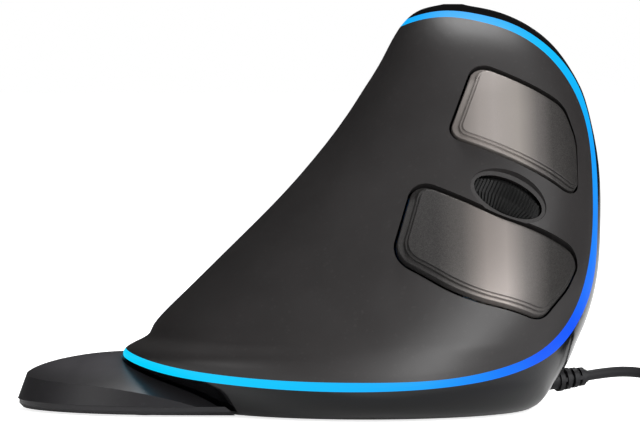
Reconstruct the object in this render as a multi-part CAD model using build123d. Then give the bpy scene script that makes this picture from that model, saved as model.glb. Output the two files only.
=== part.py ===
from build123d import *
import math
import os

os.makedirs("parts", exist_ok=True)

# Vertical mouse for the right hand. X runs to the front, where the cable leaves, -Y is the finger side,
# +Y the thumb side and Z is up from the desk.

# Body: the outer skin is lofted through level sections
BODY_LENGTH = 100.0
BODY_WIDTH = 72.0
BODY_HEIGHT = 84.0
FLOOR_GAP = 0.5
WALL = 2.2
FLOOR_WALL = 2.2
CROWN_WALL = 3.0
REAR_TIP_LENGTH = 11.0
REACH = 300.0
OVERRUN = 1.0

# Each section: height, rear, front, finger side and thumb side, as shares of height, length and width
SECTION_SHARES = (
    (0.000, -0.212, 0.456, -0.430, 0.445),
    (0.014, -0.230, 0.478, -0.458, 0.476),
    (0.032, -0.245, 0.492, -0.480, 0.492),
    (0.060, -0.285, 0.508, -0.499, 0.500),
    (0.093, -0.348, 0.528, -0.508, 0.490),
    (0.129, -0.382, 0.545, -0.503, 0.450),
    (0.165, -0.352, 0.558, -0.489, 0.395),
    (0.213, -0.314, 0.576, -0.463, 0.330),
    (0.284, -0.255, 0.594, -0.421, 0.270),
    (0.368, -0.182, 0.603, -0.372, 0.232),
    (0.463, -0.100, 0.605, -0.310, 0.215),
    (0.558, -0.024, 0.605, -0.243, 0.222),
    (0.653, 0.042, 0.598, -0.172, 0.243),
    (0.737, 0.092, 0.585, -0.111, 0.270),
    (0.809, 0.130, 0.564, -0.056, 0.298),
    (0.869, 0.159, 0.533, -0.003, 0.322),
    (0.917, 0.180, 0.496, 0.050, 0.336),
    (0.952, 0.200, 0.454, 0.104, 0.334),
    (0.976, 0.222, 0.410, 0.150, 0.318),
    (0.991, 0.250, 0.362, 0.189, 0.292),
    (1.000, 0.285, 0.325, 0.222, 0.261),
)
HOLLOW_SECTIONS = 18
SECTION_POINTS = 16
CONTOUR_FOOT_SHARE = -0.042
CONTOUR_LEAN_SHARE = 0.277
REAR_ROUNDNESS = 2.0
FOOT_ROUNDNESS = 1.9
FRONT_ROUNDNESS = 2.6
BLUNT_FROM_SHARE = 0.03
BLUNT_OVER_SHARE = 0.27

# Light strip: its inner and outer edge in the side view, as shares of length and height
STRIP_INNER_SHARES = (
    (0.175, 0.931), (0.226, 0.957), (0.292, 0.967), (0.360, 0.955), (0.425, 0.930), (0.490, 0.880),
    (0.543, 0.802), (0.576, 0.702), (0.586, 0.571), (0.583, 0.440), (0.565, 0.327), (0.519, 0.215),
    (0.468, 0.162), (0.400, 0.130), (0.280, 0.105), (0.120, 0.099), (-0.040, 0.102), (-0.180, 0.112),
    (-0.300, 0.130), (-0.395, 0.160),
)
STRIP_OUTER_SHARES = (
    (0.172, 0.939), (0.226, 0.970), (0.293, 0.983), (0.360, 0.973), (0.426, 0.950), (0.492, 0.902),
    (0.553, 0.819), (0.587, 0.702), (0.598, 0.560), (0.596, 0.440), (0.585, 0.325), (0.544, 0.212),
    (0.502, 0.158), (0.440, 0.121), (0.300, 0.088), (0.120, 0.077), (-0.040, 0.080), (-0.180, 0.090),
    (-0.300, 0.107), (-0.400, 0.142),
)
# The same two edges where the strip runs down the rear of the thumb side
WRAP_INNER_SHARES = (
    (0.175, 0.931), (0.198, 0.915), (0.203, 0.880), (0.190, 0.810), (0.140, 0.690), (0.050, 0.524),
    (-0.060, 0.357), (-0.210, 0.226), (-0.320, 0.166), (-0.395, 0.145),
)
WRAP_OUTER_SHARES = (
    (0.172, 0.946), (0.212, 0.932), (0.224, 0.885), (0.211, 0.805), (0.160, 0.680), (0.070, 0.508),
    (-0.042, 0.336), (-0.200, 0.203), (-0.310, 0.145), (-0.400, 0.130),
)
HULL_TOP_SHARE = 0.150
LEDGE_TOP_SHARE = 0.070

# Finger side: the place of the scroll wheel on the skin, and the way that the skin faces there
WHEEL_POINT_SHARES = (0.407, -0.250, 0.533)
FINGER_FACING = (0.21, -0.84, 0.50)
FINGER_ALONG = (0.901, -0.032, -0.432)

# Keys: face outlines on the finger plane, as shares of each key's length and width
KEY_LENGTH = 28.0
KEY_WIDTH = 16.0
KEY_THICKNESS = 3.0
KEY_BEVEL = 0.5
KEY_SLOT = 1.1
KEY_SLOT_SHIFT_BACK = 0.7
KEY_SLOT_SHIFT_DOWN = 0.25
LEFT_KEY_SHARES = (
    (-0.565, 1.620), (0.090, 1.578), (0.265, 1.265), (0.428, 0.592), (-0.520, 0.610),
)
LEFT_KEY_CORNER_SHARES = (0.11, 0.28, 0.75, 0.075, 0.11)
LEFT_KEY_HINGE_AT = (-13.0, 16.0)
LEFT_KEY_PRESS_AT = (0.0, 16.0)
LEFT_KEY_TILT = 4.4
LEFT_KEY_CREST = 25.5
LOWER_KEY_LENGTH = 35.0
LOWER_KEY_WIDTH = 18.0
RIGHT_KEY_SHARES = (
    (-0.470, -0.270), (0.000, -0.330), (0.522, -0.160), (0.520, -0.560), (0.462, -1.040),
    (0.020, -1.310), (-0.405, -1.180),
)
RIGHT_KEY_CORNER_SHARES = (0.10, 1.60, 0.12, 0.90, 0.20, 1.40, 0.24)
RIGHT_KEY_HINGE_AT = (-13.5, -14.5)
RIGHT_KEY_PRESS_AT = (3.0, -14.0)
RIGHT_KEY_TILT = 7.5
RIGHT_KEY_CREST = -5.5
KEY_LIFT = 0.2
KEY_SKIRT_GROW = 1.1
KEY_SKIRT_BACK = 0.65
KEY_SKIRT_DOWN = 0.2
KEY_SKIRT_DROP = 1.2

# Key hinge: a knuckle under the key's rear end turns on a pin that two ears hold
PIN_RADIUS = 0.8
PIN_PLAY = 0.08
KNUCKLE_RADIUS = 1.8
KNUCKLE_LENGTH = 7.0
EAR_RADIUS = 1.5
EAR_THICKNESS = 1.2
EAR_GAP = 0.3
BOARD_PLAY = 0.3
KNUCKLE_ROOT = 2.6
LEFT_PIN_DEPTH = 5.7
RIGHT_PIN_DEPTH = 7.5
PRESS_BOSS_RADIUS = 1.4
PRESS_BOSS_TIP_DEPTH = 4.2

# Microswitches and the key board behind the keys
SWITCH_LENGTH = 12.8
SWITCH_WIDTH = 5.8
SWITCH_HEIGHT = 6.5
PLUNGER_LENGTH = 2.6
PLUNGER_WIDTH = 1.3
PLUNGER_RISE = 0.6
KEY_BOARD_DEPTH = 12.2
BOARD_THICKNESS = 1.6
KEY_BOARD_REAR = -9.5
KEY_BOARD_FRONT = 10.0
KEY_BOARD_HALF_WIDTH = 20.0
FRAME_REAR = -16.0
FRAME_HALF_WIDTH = 20.6
FRAME_GAP = 0.8
FRAME_THICKNESS = 1.4
STANDOFF_RADIUS = 1.3

# Scroll wheel
WHEEL_RADIUS = 11.0
WHEEL_WIDTH = 7.2
WHEEL_DEPTH = 9.6
WHEEL_OFFSET = 0.25
WHEEL_RIBS = 84
RIB_DEPTH = 0.35
TYRE_THICKNESS = 3.0
TYRE_CROWN_DROP = 2.6
TYRE_STEP_SHARES = (-1.0, -0.45, 0.45, 1.0)
HUB_RECESS = 1.4
HUB_RIM = 1.6
HUB_BOSS_RADIUS = 2.6
AXLE_RADIUS = 0.9
AXLE_PLAY = 0.06
AXLE_LOW_END = -5.6
AXLE_HIGH_END = 9.2
SLOT_HALF_LENGTH = 7.1
SLOT_HALF_WIDTH = 4.0
SLOT_WIDENS_FROM = 0.5
SLOT_WIDENS_TO = 3.5
SLOT_INNER_LENGTH = 9.8
SLOT_INNER_WIDTH = 4.4
DISH_HALF_LENGTH = 8.8
DISH_HALF_WIDTH = 5.5
DISH_RISE = 0.3
DISH_DEPTH = 0.9
DISH_FLOOR_SHARE = 0.93

# Wheel cradle, which slides on three posts when the wheel is pressed
CRADLE_LOW = -5.2
CRADLE_HIGH = 5.7
CRADLE_CHEEK = 1.3
CRADLE_REACH = 14.6
CRADLE_BAR = 1.4
CRADLE_FOOT_DEPTH = 11.3
CRADLE_TOP_DEPTH = 7.6
LUG_SIZE = 4.0
LUG_BORE = 1.25
POST_RADIUS = 0.9
POST_TOP_DEPTH = 6.9
POST_ALONG = 10.0
ARM_REAR = 8.0
ARM_FRONT = 11.5
ARM_REACH = 11.5
ARM_THICKNESS = 1.7
ARM_RISE_DEPTH = 5.9
ENCODER_HALF_LENGTH = 5.5
ENCODER_WIDTH = 4.5
ENCODER_TOP_DEPTH = 6.0
WHEEL_SLOT_REACH = 12.8
WHEEL_SLOT_SIDE = 3.2
WHEEL_SWITCH_SIZE = 6.0
WHEEL_SWITCH_HEIGHT = 3.4
WHEEL_SWITCH_BUTTON = 1.7
WHEEL_SWITCH_RISE = 0.3
WHEEL_SWITCH_AT = (9.8, 10.2)

# Thumb side: two side buttons and one speed button
THUMB_POINT_SHARES = (0.370, 0.257, 0.679)
THUMB_FACING = (0.0, 0.958, -0.287)
BUTTON_LENGTH = 15.0
BUTTON_HEIGHT = 6.5
BUTTON_PITCH = 17.0
BUTTON_PROUD = 0.9
BUTTON_GAP = 0.35
BUTTON_CORNER = 2.6
BUTTON_CORNER_SHARE = 0.4
FLANGE_MARGIN = 0.8
FLANGE_FROM = 2.55
FLANGE_TO = 3.55
STEM_RADIUS = 1.4
STEM_DEPTH = 4.7
SPEED_LENGTH = 8.0
SPEED_HEIGHT = 5.0
SPEED_ALONG = 1.0
SPEED_UP = 13.5
SIDE_SWITCH_SIZE = 6.0
SIDE_SWITCH_TOP = 6.2
SIDE_SWITCH_BUTTON = 0.4
SIDE_BOARD_DEPTH = 9.5
SIDE_BOARD_THICKNESS = 1.2
SIDE_BOARD_HALF_LENGTH = 16.5
SIDE_BOARD_HALF_WIDTH = 4.5
BRACKET_THICKNESS = 2.4
BRACKET_ALONG = 14.2
BRACKET_BAR_DEPTH = 6.4

# Inside the base
MAIN_BOARD_LIFT = 1.6
MAIN_BOARD_THICKNESS = 1.2
MAIN_BOARD_REAR = -16.0
MAIN_BOARD_FRONT = 40.0
MAIN_BOARD_NEAR = -22.0
MAIN_BOARD_FAR = 21.0
MAIN_BOARD_CORNER = 12.0
SUPPORT_RADIUS = 1.8
SUPPORT_PLACES = ((-10.0, -14.0), (-10.0, 14.0), (30.0, 12.0))
SENSOR_AT = (14.0, 0.0)
SENSOR_LENGTH = 12.0
SENSOR_WIDTH = 10.0
SENSOR_HEIGHT = 3.2
SENSOR_WINDOW = 6.0
LENS_LENGTH = 18.0
LENS_WIDTH = 11.0
LENS_THICKNESS = 1.4
LENS_BARREL_RADIUS = 2.2
LENS_BARREL_DROP = 1.4
EYE_LENGTH = 12.0
EYE_WIDTH = 8.0
HEADER_LENGTH = 8.0
HEADER_WIDTH = 5.0
HEADER_HEIGHT = 3.5
CABLE_HEADER_AT = (36.5, 5.0)
RIBBON_WIDTH = 7.0
RIBBON_SHIFT = 5.0
RIBBON_THICKNESS = 0.6
RIBBON_HEADER_DEPTH = 9.7
RIBBON_HEADER_LOW = -20.0
RIBBON_HEADER_HIGH = -17.6
RIBBON_ROUTE = ((-20.0, 11.0), (-25.0, 12.0), (-30.5, 16.5), (-32.8, 20.3))
RIBBON_SOCKET_LENGTH = 9.0
RIBBON_FOOT_WIDTH = 6.0

# Screws and the posts that they enter
SCREW_RADIUS = 1.1
SCREW_HEAD_RADIUS = 2.2
SCREW_HEAD_HEIGHT = 1.4
SCREW_LENGTH = 9.0
SCREW_SOCKET_RADIUS = 1.0
SCREW_SOCKET_DEPTH = 0.7
POST_OUTER_RADIUS = 3.0
POST_JOINT_HEIGHT = 8.6
FRAME_SCREW_PLACES = ((19.0, -15.5), (37.0, -16.0))
SHELL_SCREW_PLACES = ((38.0, 17.5), (2.0, 17.5))
PALM_SCREW_PLACE = (-16.5, -3.0)

# Feet under the base
SKATE_THICKNESS = 0.8
REAR_SKATE_AT = (-8.5, 1.0)
REAR_SKATE_LENGTH = 7.0
REAR_SKATE_WIDTH = 26.0
FRONT_SKATE_AT = (39.5, 1.5)
FRONT_SKATE_LENGTH = 6.0
FRONT_SKATE_WIDTH = 24.0
SENSOR_RING_WIDTH = 2.0
SENSOR_RING_MARGIN = 1.0

# Light under the strip
LED_HEIGHT = 0.8
LED_SIZE = 3.0
LED_PLACE_SHARES = (
    (0.430, 0.905), (0.530, 0.820), (0.570, 0.560), (0.573, 0.320), (0.440, 0.135), (0.200, 0.090),
    (-0.040, 0.091), (-0.240, 0.108),
)
FLEX_THICKNESS = 0.3

# Palm rest
REST_REAR = -60.2
REST_HALF_WIDTH = 23.0
REST_MIDDLE = 0.5
REST_OUTLINE_SHARES = (
    (0.360, -1.000), (0.620, -0.930), (0.830, -0.690), (0.955, -0.360), (1.000, 0.000), (0.955, 0.360),
    (0.830, 0.690), (0.620, 0.930), (0.360, 1.000),
)
REST_FORE_SHARE = 0.15
REST_DOME_RADIUS = 68.0
REST_DOME_AT = (-37.0, 8.0)
REST_HEIGHT = 11.3
REST_SEAM = 2.3
REST_WALL = 2.0
REST_DRAFT = 20.0
REST_GAP = 0.6
REST_SEAM_STEP = 0.3
REST_PLATE_BEVEL = 0.8
REST_PAD_RADIUS = 3.5
REST_PAD_PLACES = ((-49.0, 0.5), (-33.0, -12.0), (-33.0, 13.0))
REST_SCREW_PLACES = ((-45.0, -8.0), (-45.0, 9.0))
MAGNET_RADIUS = 1.5
MAGNET_LENGTH = 2.0
MAGNET_HEIGHT = 4.2
MAGNET_SPREAD = 6.0
MAGNET_HOLDER_WALL = 0.8
BASE_MAGNET_FACE = -20.2
REST_MAGNET_FACE = -31.6

# Strain relief and cable
CABLE_DIAMETER = 2.2
RELIEF_EXIT = (51.2, 6.75, 5.34)
RELIEF_YAW = 25.0
RELIEF_PITCH = 5.0
RELIEF_NECK_RADIUS = 1.9
RELIEF_FLANGE_RADIUS = 2.7
RELIEF_FLANGE_THICKNESS = 1.2
RELIEF_FLANGE_SETBACK = 4.6
RELIEF_POCKET_BACK = 2.4
RELIEF_COLLAR = 0.8
RELIEF_LENGTH = 7.8
RELIEF_FIRST_RADIUS = 2.45
RELIEF_LAST_RADIUS = 1.95
RELIEF_GROOVE = 0.8
RELIEF_GROOVE_DEPTH = 0.55
RELIEF_RIBS = 4
CABLE_CORE_RISE = (43.4, 4.3, 6.2)
CABLE_CORE_END = (39.6, 4.6, 7.2)

# Route of the free lead after the relief, down to the desk
LEAD_ROUTE = (
    (63.6, 12.9, 6.7), (69.2, 16.5, 6.4), (73.6, 19.3, 5.3), (77.9, 22.0, 3.6), (82.0, 24.7, 2.2),
)
COIL_LIFT = 0.9
COIL_ENTRY = (86.0, 27.8)
COIL_HEADING = 39.0
COIL_PITCH = 3.2
COIL_LAYER_STEP = 2.9
COIL_LAYERS = 4
COIL_TURNS_A_LAYER = 4
GAP_SAMPLES = 2400
COIL_OUTER_RADIUS = 19.0
ARC_SHARE = 0.45
TIE_THICKNESS = 0.8
TIE_WIDTH = 4.0
TIE_GAP = 0.3
PLUG_HEADING = 2.0
PLUG_ROUTE = ((7.0, 0.0, 10.2), (15.0, -0.8, 8.4), (23.0, -3.4, 5.8), (30.0, -7.4, 4.2))
PLUG_END = (36.0, -11.9, 3.9)

# Plug
GRIP_LENGTH = 20.0
GRIP_WIDTH = 14.0
GRIP_THICKNESS = 7.8
GRIP_CORNER = 2.0
GRIP_NOSE_LENGTH = 4.0
GRIP_NOSE_WIDTH = 6.0
GRIP_NOSE_THICKNESS = 4.6
PLUG_SHELL_WIDTH = 12.0
PLUG_SHELL_THICKNESS = 4.5
PLUG_SHELL_LENGTH = 12.0
PLUG_SHELL_WALL = 0.3
PLUG_TONGUE_THICKNESS = 1.8
PLUG_TONGUE_SETBACK = 0.8

# Places that follow from the sizes above
BODY_SCALE = (BODY_LENGTH, BODY_WIDTH, BODY_HEIGHT)
FRAME_DEPTH = KEY_BOARD_DEPTH + BOARD_THICKNESS + FRAME_GAP
WHEEL_POINT = Vector(*(s * size for s, size in zip(WHEEL_POINT_SHARES, BODY_SCALE)))
FINGER = Plane(origin=WHEEL_POINT, x_dir=FINGER_ALONG, z_dir=FINGER_FACING)
THUMB_POINT = Vector(*(s * size for s, size in zip(THUMB_POINT_SHARES, BODY_SCALE)))
THUMB = Plane(origin=THUMB_POINT, x_dir=(1, 0, 0), z_dir=THUMB_FACING)
BASE_FLOOR = FLOOR_GAP + FLOOR_WALL
BOARD_BOTTOM = BASE_FLOOR + MAIN_BOARD_LIFT
BOARD_TOP = BOARD_BOTTOM + MAIN_BOARD_THICKNESS


# Helpers
def box(x0, x1, y0, y1, z0, z1):
    """A box between its two corners."""
    size = (x1 - x0, y1 - y0, z1 - z0)
    middle = ((x0 + x1) / 2, (y0 + y1) / 2, (z0 + z1) / 2)
    return Pos(*middle) * Box(*size)


def rod(x, y, z0, z1, radius):
    """An upright cylinder between two heights."""
    return Pos(x, y, (z0 + z1) / 2) * Cylinder(radius, z1 - z0)


def cross_rod(u, n, v0, v1, radius):
    """A cylinder along the second axis of a plane, for the wheel axle and the key pins."""
    return Pos(u, (v0 + v1) / 2, n) * Rot(90, 0, 0) * Cylinder(radius, v1 - v0)


def level(sketch, z0, z1):
    """A sketch extruded between two heights."""
    return extrude(Pos(0, 0, z0) * sketch, z1 - z0)


def solids_of(shape):
    """A compound of the shape's solids."""
    found = shape.solids()
    return found[0] if len(found) == 1 else Compound(children=list(found))


def save(name, shape):
    """Writes one named piece."""
    export_step(solids_of(shape), "parts/" + name + ".step")


# Outer skin
def contour_middle(share):
    """The line between the finger side and the thumb side leans towards the thumb."""
    return (CONTOUR_FOOT_SHARE + CONTOUR_LEAN_SHARE * share) * BODY_WIDTH


def front_roundness(share):
    """The sections get blunter at the front from the foot upwards."""
    blunt = min(1, max(0, (share - BLUNT_FROM_SHARE) / BLUNT_OVER_SHARE))
    return FOOT_ROUNDNESS + (FRONT_ROUNDNESS - FOOT_ROUNDNESS) * blunt


def section_face(row, inset, low, high):
    """One level section: four quarters of superellipses round the leaning contour line."""
    share, rear, front, near, far = row
    x0 = rear * BODY_LENGTH + inset
    x1 = front * BODY_LENGTH - inset
    y0 = near * BODY_WIDTH + inset
    y1 = far * BODY_WIDTH - inset
    middle = contour_middle(share)
    points = []
    for k in range(SECTION_POINTS):
        turn = 2 * math.pi * k / SECTION_POINTS
        c, s = math.cos(turn), math.sin(turn)
        power = 2 / (front_roundness(share) if c > 0 else REAR_ROUNDNESS)
        x = (x0 + x1) / 2 + (x1 - x0) / 2 * math.copysign(abs(c) ** power, c)
        side = (y1 - middle) if s > 0 else (middle - y0)
        y = middle + side * math.copysign(abs(s) ** power, s)
        points.append((x, y, low + (high - low) * share))
    return make_face(Spline(*points, periodic=True))


def body_form(inset=0.0, low=FLOOR_GAP, high=BODY_HEIGHT, count=len(SECTION_SHARES)):
    """The body's outer form, or the same form inset by a distance."""
    return loft([section_face(row, inset, low, high) for row in SECTION_SHARES[:count]])


def inner_form(inset):
    """The hollow's form at a depth under the skin, over the floor and under the crown."""
    lift = FLOOR_WALL * (inset / WALL)
    drop = CROWN_WALL * (inset / WALL)
    return body_form(inset, FLOOR_GAP + lift, BODY_HEIGHT - drop, HOLLOW_SECTIONS)


def rear_tip(outer):
    """The rear end of the body over its brim, where the palm shell is solid."""
    end = min(rear for _, rear, *_ in SECTION_SHARES) * BODY_LENGTH + REAR_TIP_LENGTH
    return outer & box(-REACH, end, -REACH, REACH, -REACH, REACH)


def side_points(shares):
    """Side-view points as a list on the XZ plane."""
    return [(x * BODY_LENGTH, 0, z * BODY_HEIGHT) for x, z in shares]


def near_region(shares):
    """All that lies inside a strip edge on the finger side, extruded along Y."""
    points = side_points(shares)
    first, last = points[0], points[-1]
    edge = Spline(*points)
    back = Polyline(last, (-BODY_LENGTH, 0, last[2]), (-BODY_LENGTH, 0, first[2]), first)
    return extrude(make_face(Wire(edge.edges() + back.edges())), BODY_WIDTH, dir=(0, 1, 0), both=True)


def thumb_side_block():
    """All space on the thumb side of the leaning contour plane."""
    foot = Vector(0, contour_middle(0), FLOOR_GAP)
    head = Vector(0, contour_middle(1), BODY_HEIGHT)
    facing = Vector(1, 0, 0).cross(head - foot) * -1
    block = Pos(0, 0, REACH / 2) * Box(REACH, REACH, REACH)
    return Plane(origin=foot, x_dir=(1, 0, 0), z_dir=facing) * block


# Finger side cuts
def outline(shares, corner_shares, length, width, grow=0.0, shift=(0.0, 0.0)):
    """A key outline with rounded corners, grown by an offset and shifted."""
    points = [(u * length + shift[0], v * width + shift[1]) for u, v in shares]
    radii = [r * width for r in corner_shares]
    face = make_face(FilletPolyline(*points, radius=radii, close=True))
    return offset(face, amount=grow) if grow else face


def finger_prism(sketch, depth, rise):
    """A sketch on the finger plane, extruded from a depth to a rise over the plane."""
    return FINGER * extrude(Pos(0, 0, -depth) * sketch, depth + rise)


def key_slot(face):
    """The opening of a key in the shell: wider behind and below, where the slot shows dark."""
    grown = offset(face, amount=KEY_BEVEL + KEY_SLOT)
    return Pos(-KEY_SLOT_SHIFT_BACK, -KEY_SLOT_SHIFT_DOWN) * grown


def ellipse_prism(half_length, half_width, depth, rise):
    """An elliptic cut on the finger plane, centred on the wheel."""
    return finger_prism(Pos(0, WHEEL_OFFSET) * Ellipse(half_length, half_width), depth, rise)


def wheel_dish():
    """The shallow dish round the wheel slot, narrowing inwards."""
    rim = Pos(0, WHEEL_OFFSET, DISH_RISE) * Ellipse(DISH_HALF_LENGTH, DISH_HALF_WIDTH)
    floor_length = DISH_HALF_LENGTH * DISH_FLOOR_SHARE
    floor_width = DISH_HALF_WIDTH * DISH_FLOOR_SHARE
    foot = Pos(0, WHEEL_OFFSET, -DISH_DEPTH) * Ellipse(floor_length, floor_width)
    return FINGER * loft([foot, rim])


def wheel_slot():
    """The slot of the wheel, which widens behind the skin as the wheel does."""
    slot = ellipse_prism(SLOT_HALF_LENGTH, SLOT_HALF_WIDTH, SLOT_WIDENS_FROM, KEY_WIDTH)
    mouth = Pos(0, WHEEL_OFFSET, -SLOT_WIDENS_FROM) * Ellipse(SLOT_HALF_LENGTH, SLOT_HALF_WIDTH)
    inner = Pos(0, WHEEL_OFFSET, -SLOT_WIDENS_TO) * Ellipse(SLOT_INNER_LENGTH, SLOT_INNER_WIDTH)
    slot += FINGER * loft([inner, mouth])
    behind = Pos(0, WHEEL_OFFSET, -KEY_BOARD_DEPTH) * Ellipse(SLOT_INNER_LENGTH, SLOT_INNER_WIDTH)
    return slot + FINGER * extrude(behind, KEY_BOARD_DEPTH - SLOT_WIDENS_TO)


def finger_openings(left_face, right_face):
    """Both key slots, the wheel slot and its dish, as one cutting shape."""
    cuts = finger_prism(key_slot(left_face), KEY_BOARD_DEPTH, KEY_WIDTH)
    cuts += finger_prism(key_slot(right_face), KEY_BOARD_DEPTH, KEY_WIDTH)
    cuts += wheel_slot()
    return cuts + wheel_dish()


# Keys
def raised_skin(outer, crest, tilt):
    """The skin turned about a key's upper edge, so that the key stands proud at its lower edge."""
    edge = FINGER.origin + FINGER.y_dir * crest
    return Pos(*(FINGER.z_dir * KEY_LIFT)) * outer.rotate(Axis(edge, FINGER.x_dir), -tilt)


def key_piece(outer, face, crest, tilt, hinge_at, press_at, pin_depth):
    """A key: a curved plate with a bevelled edge over a wider skirt, its hinge knuckle and its press boss."""
    skin = raised_skin(outer, crest, tilt)
    lowered = Pos(*(FINGER.z_dir * -KEY_BEVEL)) * skin
    under = Pos(*(FINGER.z_dir * -KEY_THICKNESS)) * skin
    inside = Pos(*(FINGER.z_dir * (KEY_BEVEL - KEY_THICKNESS))) * skin
    plate = finger_prism(offset(face, amount=KEY_BEVEL), KEY_BOARD_DEPTH, KEY_WIDTH) & lowered
    plate += finger_prism(face, KEY_BOARD_DEPTH, KEY_WIDTH) & skin
    skirt = Pos(-KEY_SKIRT_BACK, -KEY_SKIRT_DOWN) * offset(face, amount=KEY_SKIRT_GROW)
    skirt_skin = Pos(*(FINGER.z_dir * -KEY_SKIRT_DROP)) * skin
    plate += finger_prism(skirt, KEY_BOARD_DEPTH, KEY_WIDTH) & skirt_skin
    plate -= under
    u, v = hinge_at
    half = KNUCKLE_LENGTH / 2
    root = box(u - KNUCKLE_ROOT / 2, u + KNUCKLE_ROOT / 2, v - half, v + half, -pin_depth, 0)
    knuckle = cross_rod(u, -pin_depth, v - half, v + half, KNUCKLE_RADIUS)
    boss = rod(*press_at, -PRESS_BOSS_TIP_DEPTH, 0, PRESS_BOSS_RADIUS)
    plate += (FINGER * (root + knuckle)) & inside
    plate += (FINGER * boss) & inside
    return plate - FINGER * cross_rod(u, -pin_depth, v - KEY_WIDTH, v + KEY_WIDTH, PIN_RADIUS + PIN_PLAY)


def key_pin(hinge_at, pin_depth):
    """A hinge pin, as long as the knuckle, both gaps and both ears together."""
    half = KNUCKLE_LENGTH / 2 + EAR_GAP + EAR_THICKNESS
    return FINGER * cross_rod(hinge_at[0], -pin_depth, hinge_at[1] - half, hinge_at[1] + half, PIN_RADIUS)


def ear_spans(hinge_at):
    """Where the two ears of a key's pin start and end along the pin."""
    v = hinge_at[1]
    inner = KNUCKLE_LENGTH / 2 + EAR_GAP
    return ((v - inner - EAR_THICKNESS, v - inner), (v + inner, v + inner + EAR_THICKNESS))


def pin_ears(hinge_at, pin_depth):
    """The two ears that hold a key's pin, standing on the inner frame."""
    u, v = hinge_at
    ears = []
    for v0, v1 in ear_spans(hinge_at):
        web = box(u - EAR_RADIUS, u + EAR_RADIUS, v0, v1, -FRAME_DEPTH - FRAME_THICKNESS, -pin_depth)
        ears.append(web + cross_rod(u, -pin_depth, v0, v1, EAR_RADIUS))
    both = ears[0] + ears[1]
    return both - cross_rod(u, -pin_depth, v - KEY_WIDTH, v + KEY_WIDTH, PIN_RADIUS)


def ear_room(hinge_at, z0, z1):
    """The room for a key's ears through the key board."""
    reach = EAR_RADIUS + BOARD_PLAY
    rooms = [box(hinge_at[0] - reach, hinge_at[0] + reach, v0 - BOARD_PLAY, v1 + BOARD_PLAY, z0, z1)
             for v0, v1 in ear_spans(hinge_at)]
    return rooms[0] + rooms[1]


# Boards and switches behind the keys
def microswitch(press_at):
    """A microswitch with its plunger, standing on the key board."""
    u, v = press_at
    half_length, half_width = SWITCH_LENGTH / 2, SWITCH_WIDTH / 2
    top = SWITCH_HEIGHT - KEY_BOARD_DEPTH
    case = box(u - half_length, u + half_length, v - half_width, v + half_width, -KEY_BOARD_DEPTH, top)
    knob_length, knob_width = PLUNGER_LENGTH / 2, PLUNGER_WIDTH / 2
    knob = box(u - knob_length, u + knob_length, v - knob_width, v + knob_width, top, top + PLUNGER_RISE)
    return FINGER * (case + knob)


def wheel_gap(z0, z1):
    """The slot for the wheel through the board and the frame."""
    side = WHEEL_WIDTH / 2 + WHEEL_SLOT_SIDE / 4
    middle = WHEEL_OFFSET
    return box(-WHEEL_SLOT_REACH, WHEEL_SLOT_REACH, middle - side, middle + side, z0, z1)


def post_places():
    """The three posts that guide the wheel cradle."""
    low = CRADLE_LOW - LUG_SIZE / 2
    high = CRADLE_HIGH + LUG_SIZE / 2
    return ((-POST_ALONG, low), (POST_ALONG, low), (-POST_ALONG, high))


def key_board():
    """The board of the key switches, slotted for the wheel and drilled for the guide posts."""
    half = KEY_BOARD_HALF_WIDTH
    low, high = -KEY_BOARD_DEPTH - BOARD_THICKNESS, -KEY_BOARD_DEPTH
    front = WHEEL_SLOT_REACH + BOARD_THICKNESS
    plate = box(KEY_BOARD_REAR, KEY_BOARD_FRONT, -half, half, low, high)
    middle = LUG_SIZE * 2 + CRADLE_HIGH
    plate += box(-front, front, -middle, middle, low, high)
    plate -= wheel_gap(low - OVERRUN, high + OVERRUN)
    for u, v in post_places():
        plate -= rod(u, v, low - OVERRUN, high + OVERRUN, POST_RADIUS)
    for hinge_at in (LEFT_KEY_HINGE_AT, RIGHT_KEY_HINGE_AT):
        plate -= ear_room(hinge_at, low - OVERRUN, high + OVERRUN)
    return FINGER * plate


def frame_columns():
    """The two columns of the inner frame, which stand on the posts of the base."""
    top = BODY_HEIGHT / 2
    columns = [rod(x, y, POST_JOINT_HEIGHT, top, POST_OUTER_RADIUS) for x, y in FRAME_SCREW_PLACES]
    above = FINGER * box(-REACH, REACH, -REACH, REACH, -FRAME_DEPTH - FRAME_THICKNESS / 2, REACH)
    return (columns[0] - above) + (columns[1] - above)


def inner_frame():
    """The frame behind the key board: plate, standoffs, guide posts, ears for the key pins and columns."""
    low, high = -FRAME_DEPTH - FRAME_THICKNESS, -FRAME_DEPTH
    half = FRAME_HALF_WIDTH
    front = WHEEL_SLOT_REACH + BOARD_THICKNESS
    plate = box(FRAME_REAR, KEY_BOARD_FRONT, -half, half, low, high)
    middle = LUG_SIZE * 2 + CRADLE_HIGH
    plate += box(-front, front, -middle, middle, low, high)
    plate -= wheel_gap(low - OVERRUN, high + OVERRUN)
    inset = STANDOFF_RADIUS * 2
    for u in (KEY_BOARD_REAR + inset, KEY_BOARD_FRONT - inset):
        for v in (inset - KEY_BOARD_HALF_WIDTH, KEY_BOARD_HALF_WIDTH - inset):
            plate += rod(u, v, low, high + FRAME_GAP, STANDOFF_RADIUS)
    for u, v in post_places():
        plate += rod(u, v, low, -POST_TOP_DEPTH, POST_RADIUS)
    plate += pin_ears(LEFT_KEY_HINGE_AT, LEFT_PIN_DEPTH)
    plate += pin_ears(RIGHT_KEY_HINGE_AT, RIGHT_PIN_DEPTH)
    frame = FINGER * plate + frame_columns()
    for x, y in FRAME_SCREW_PLACES:
        frame -= rod(x, y, 0, SCREW_LENGTH + FLOOR_GAP + SCREW_HEAD_HEIGHT, SCREW_RADIUS)
    return frame


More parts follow.
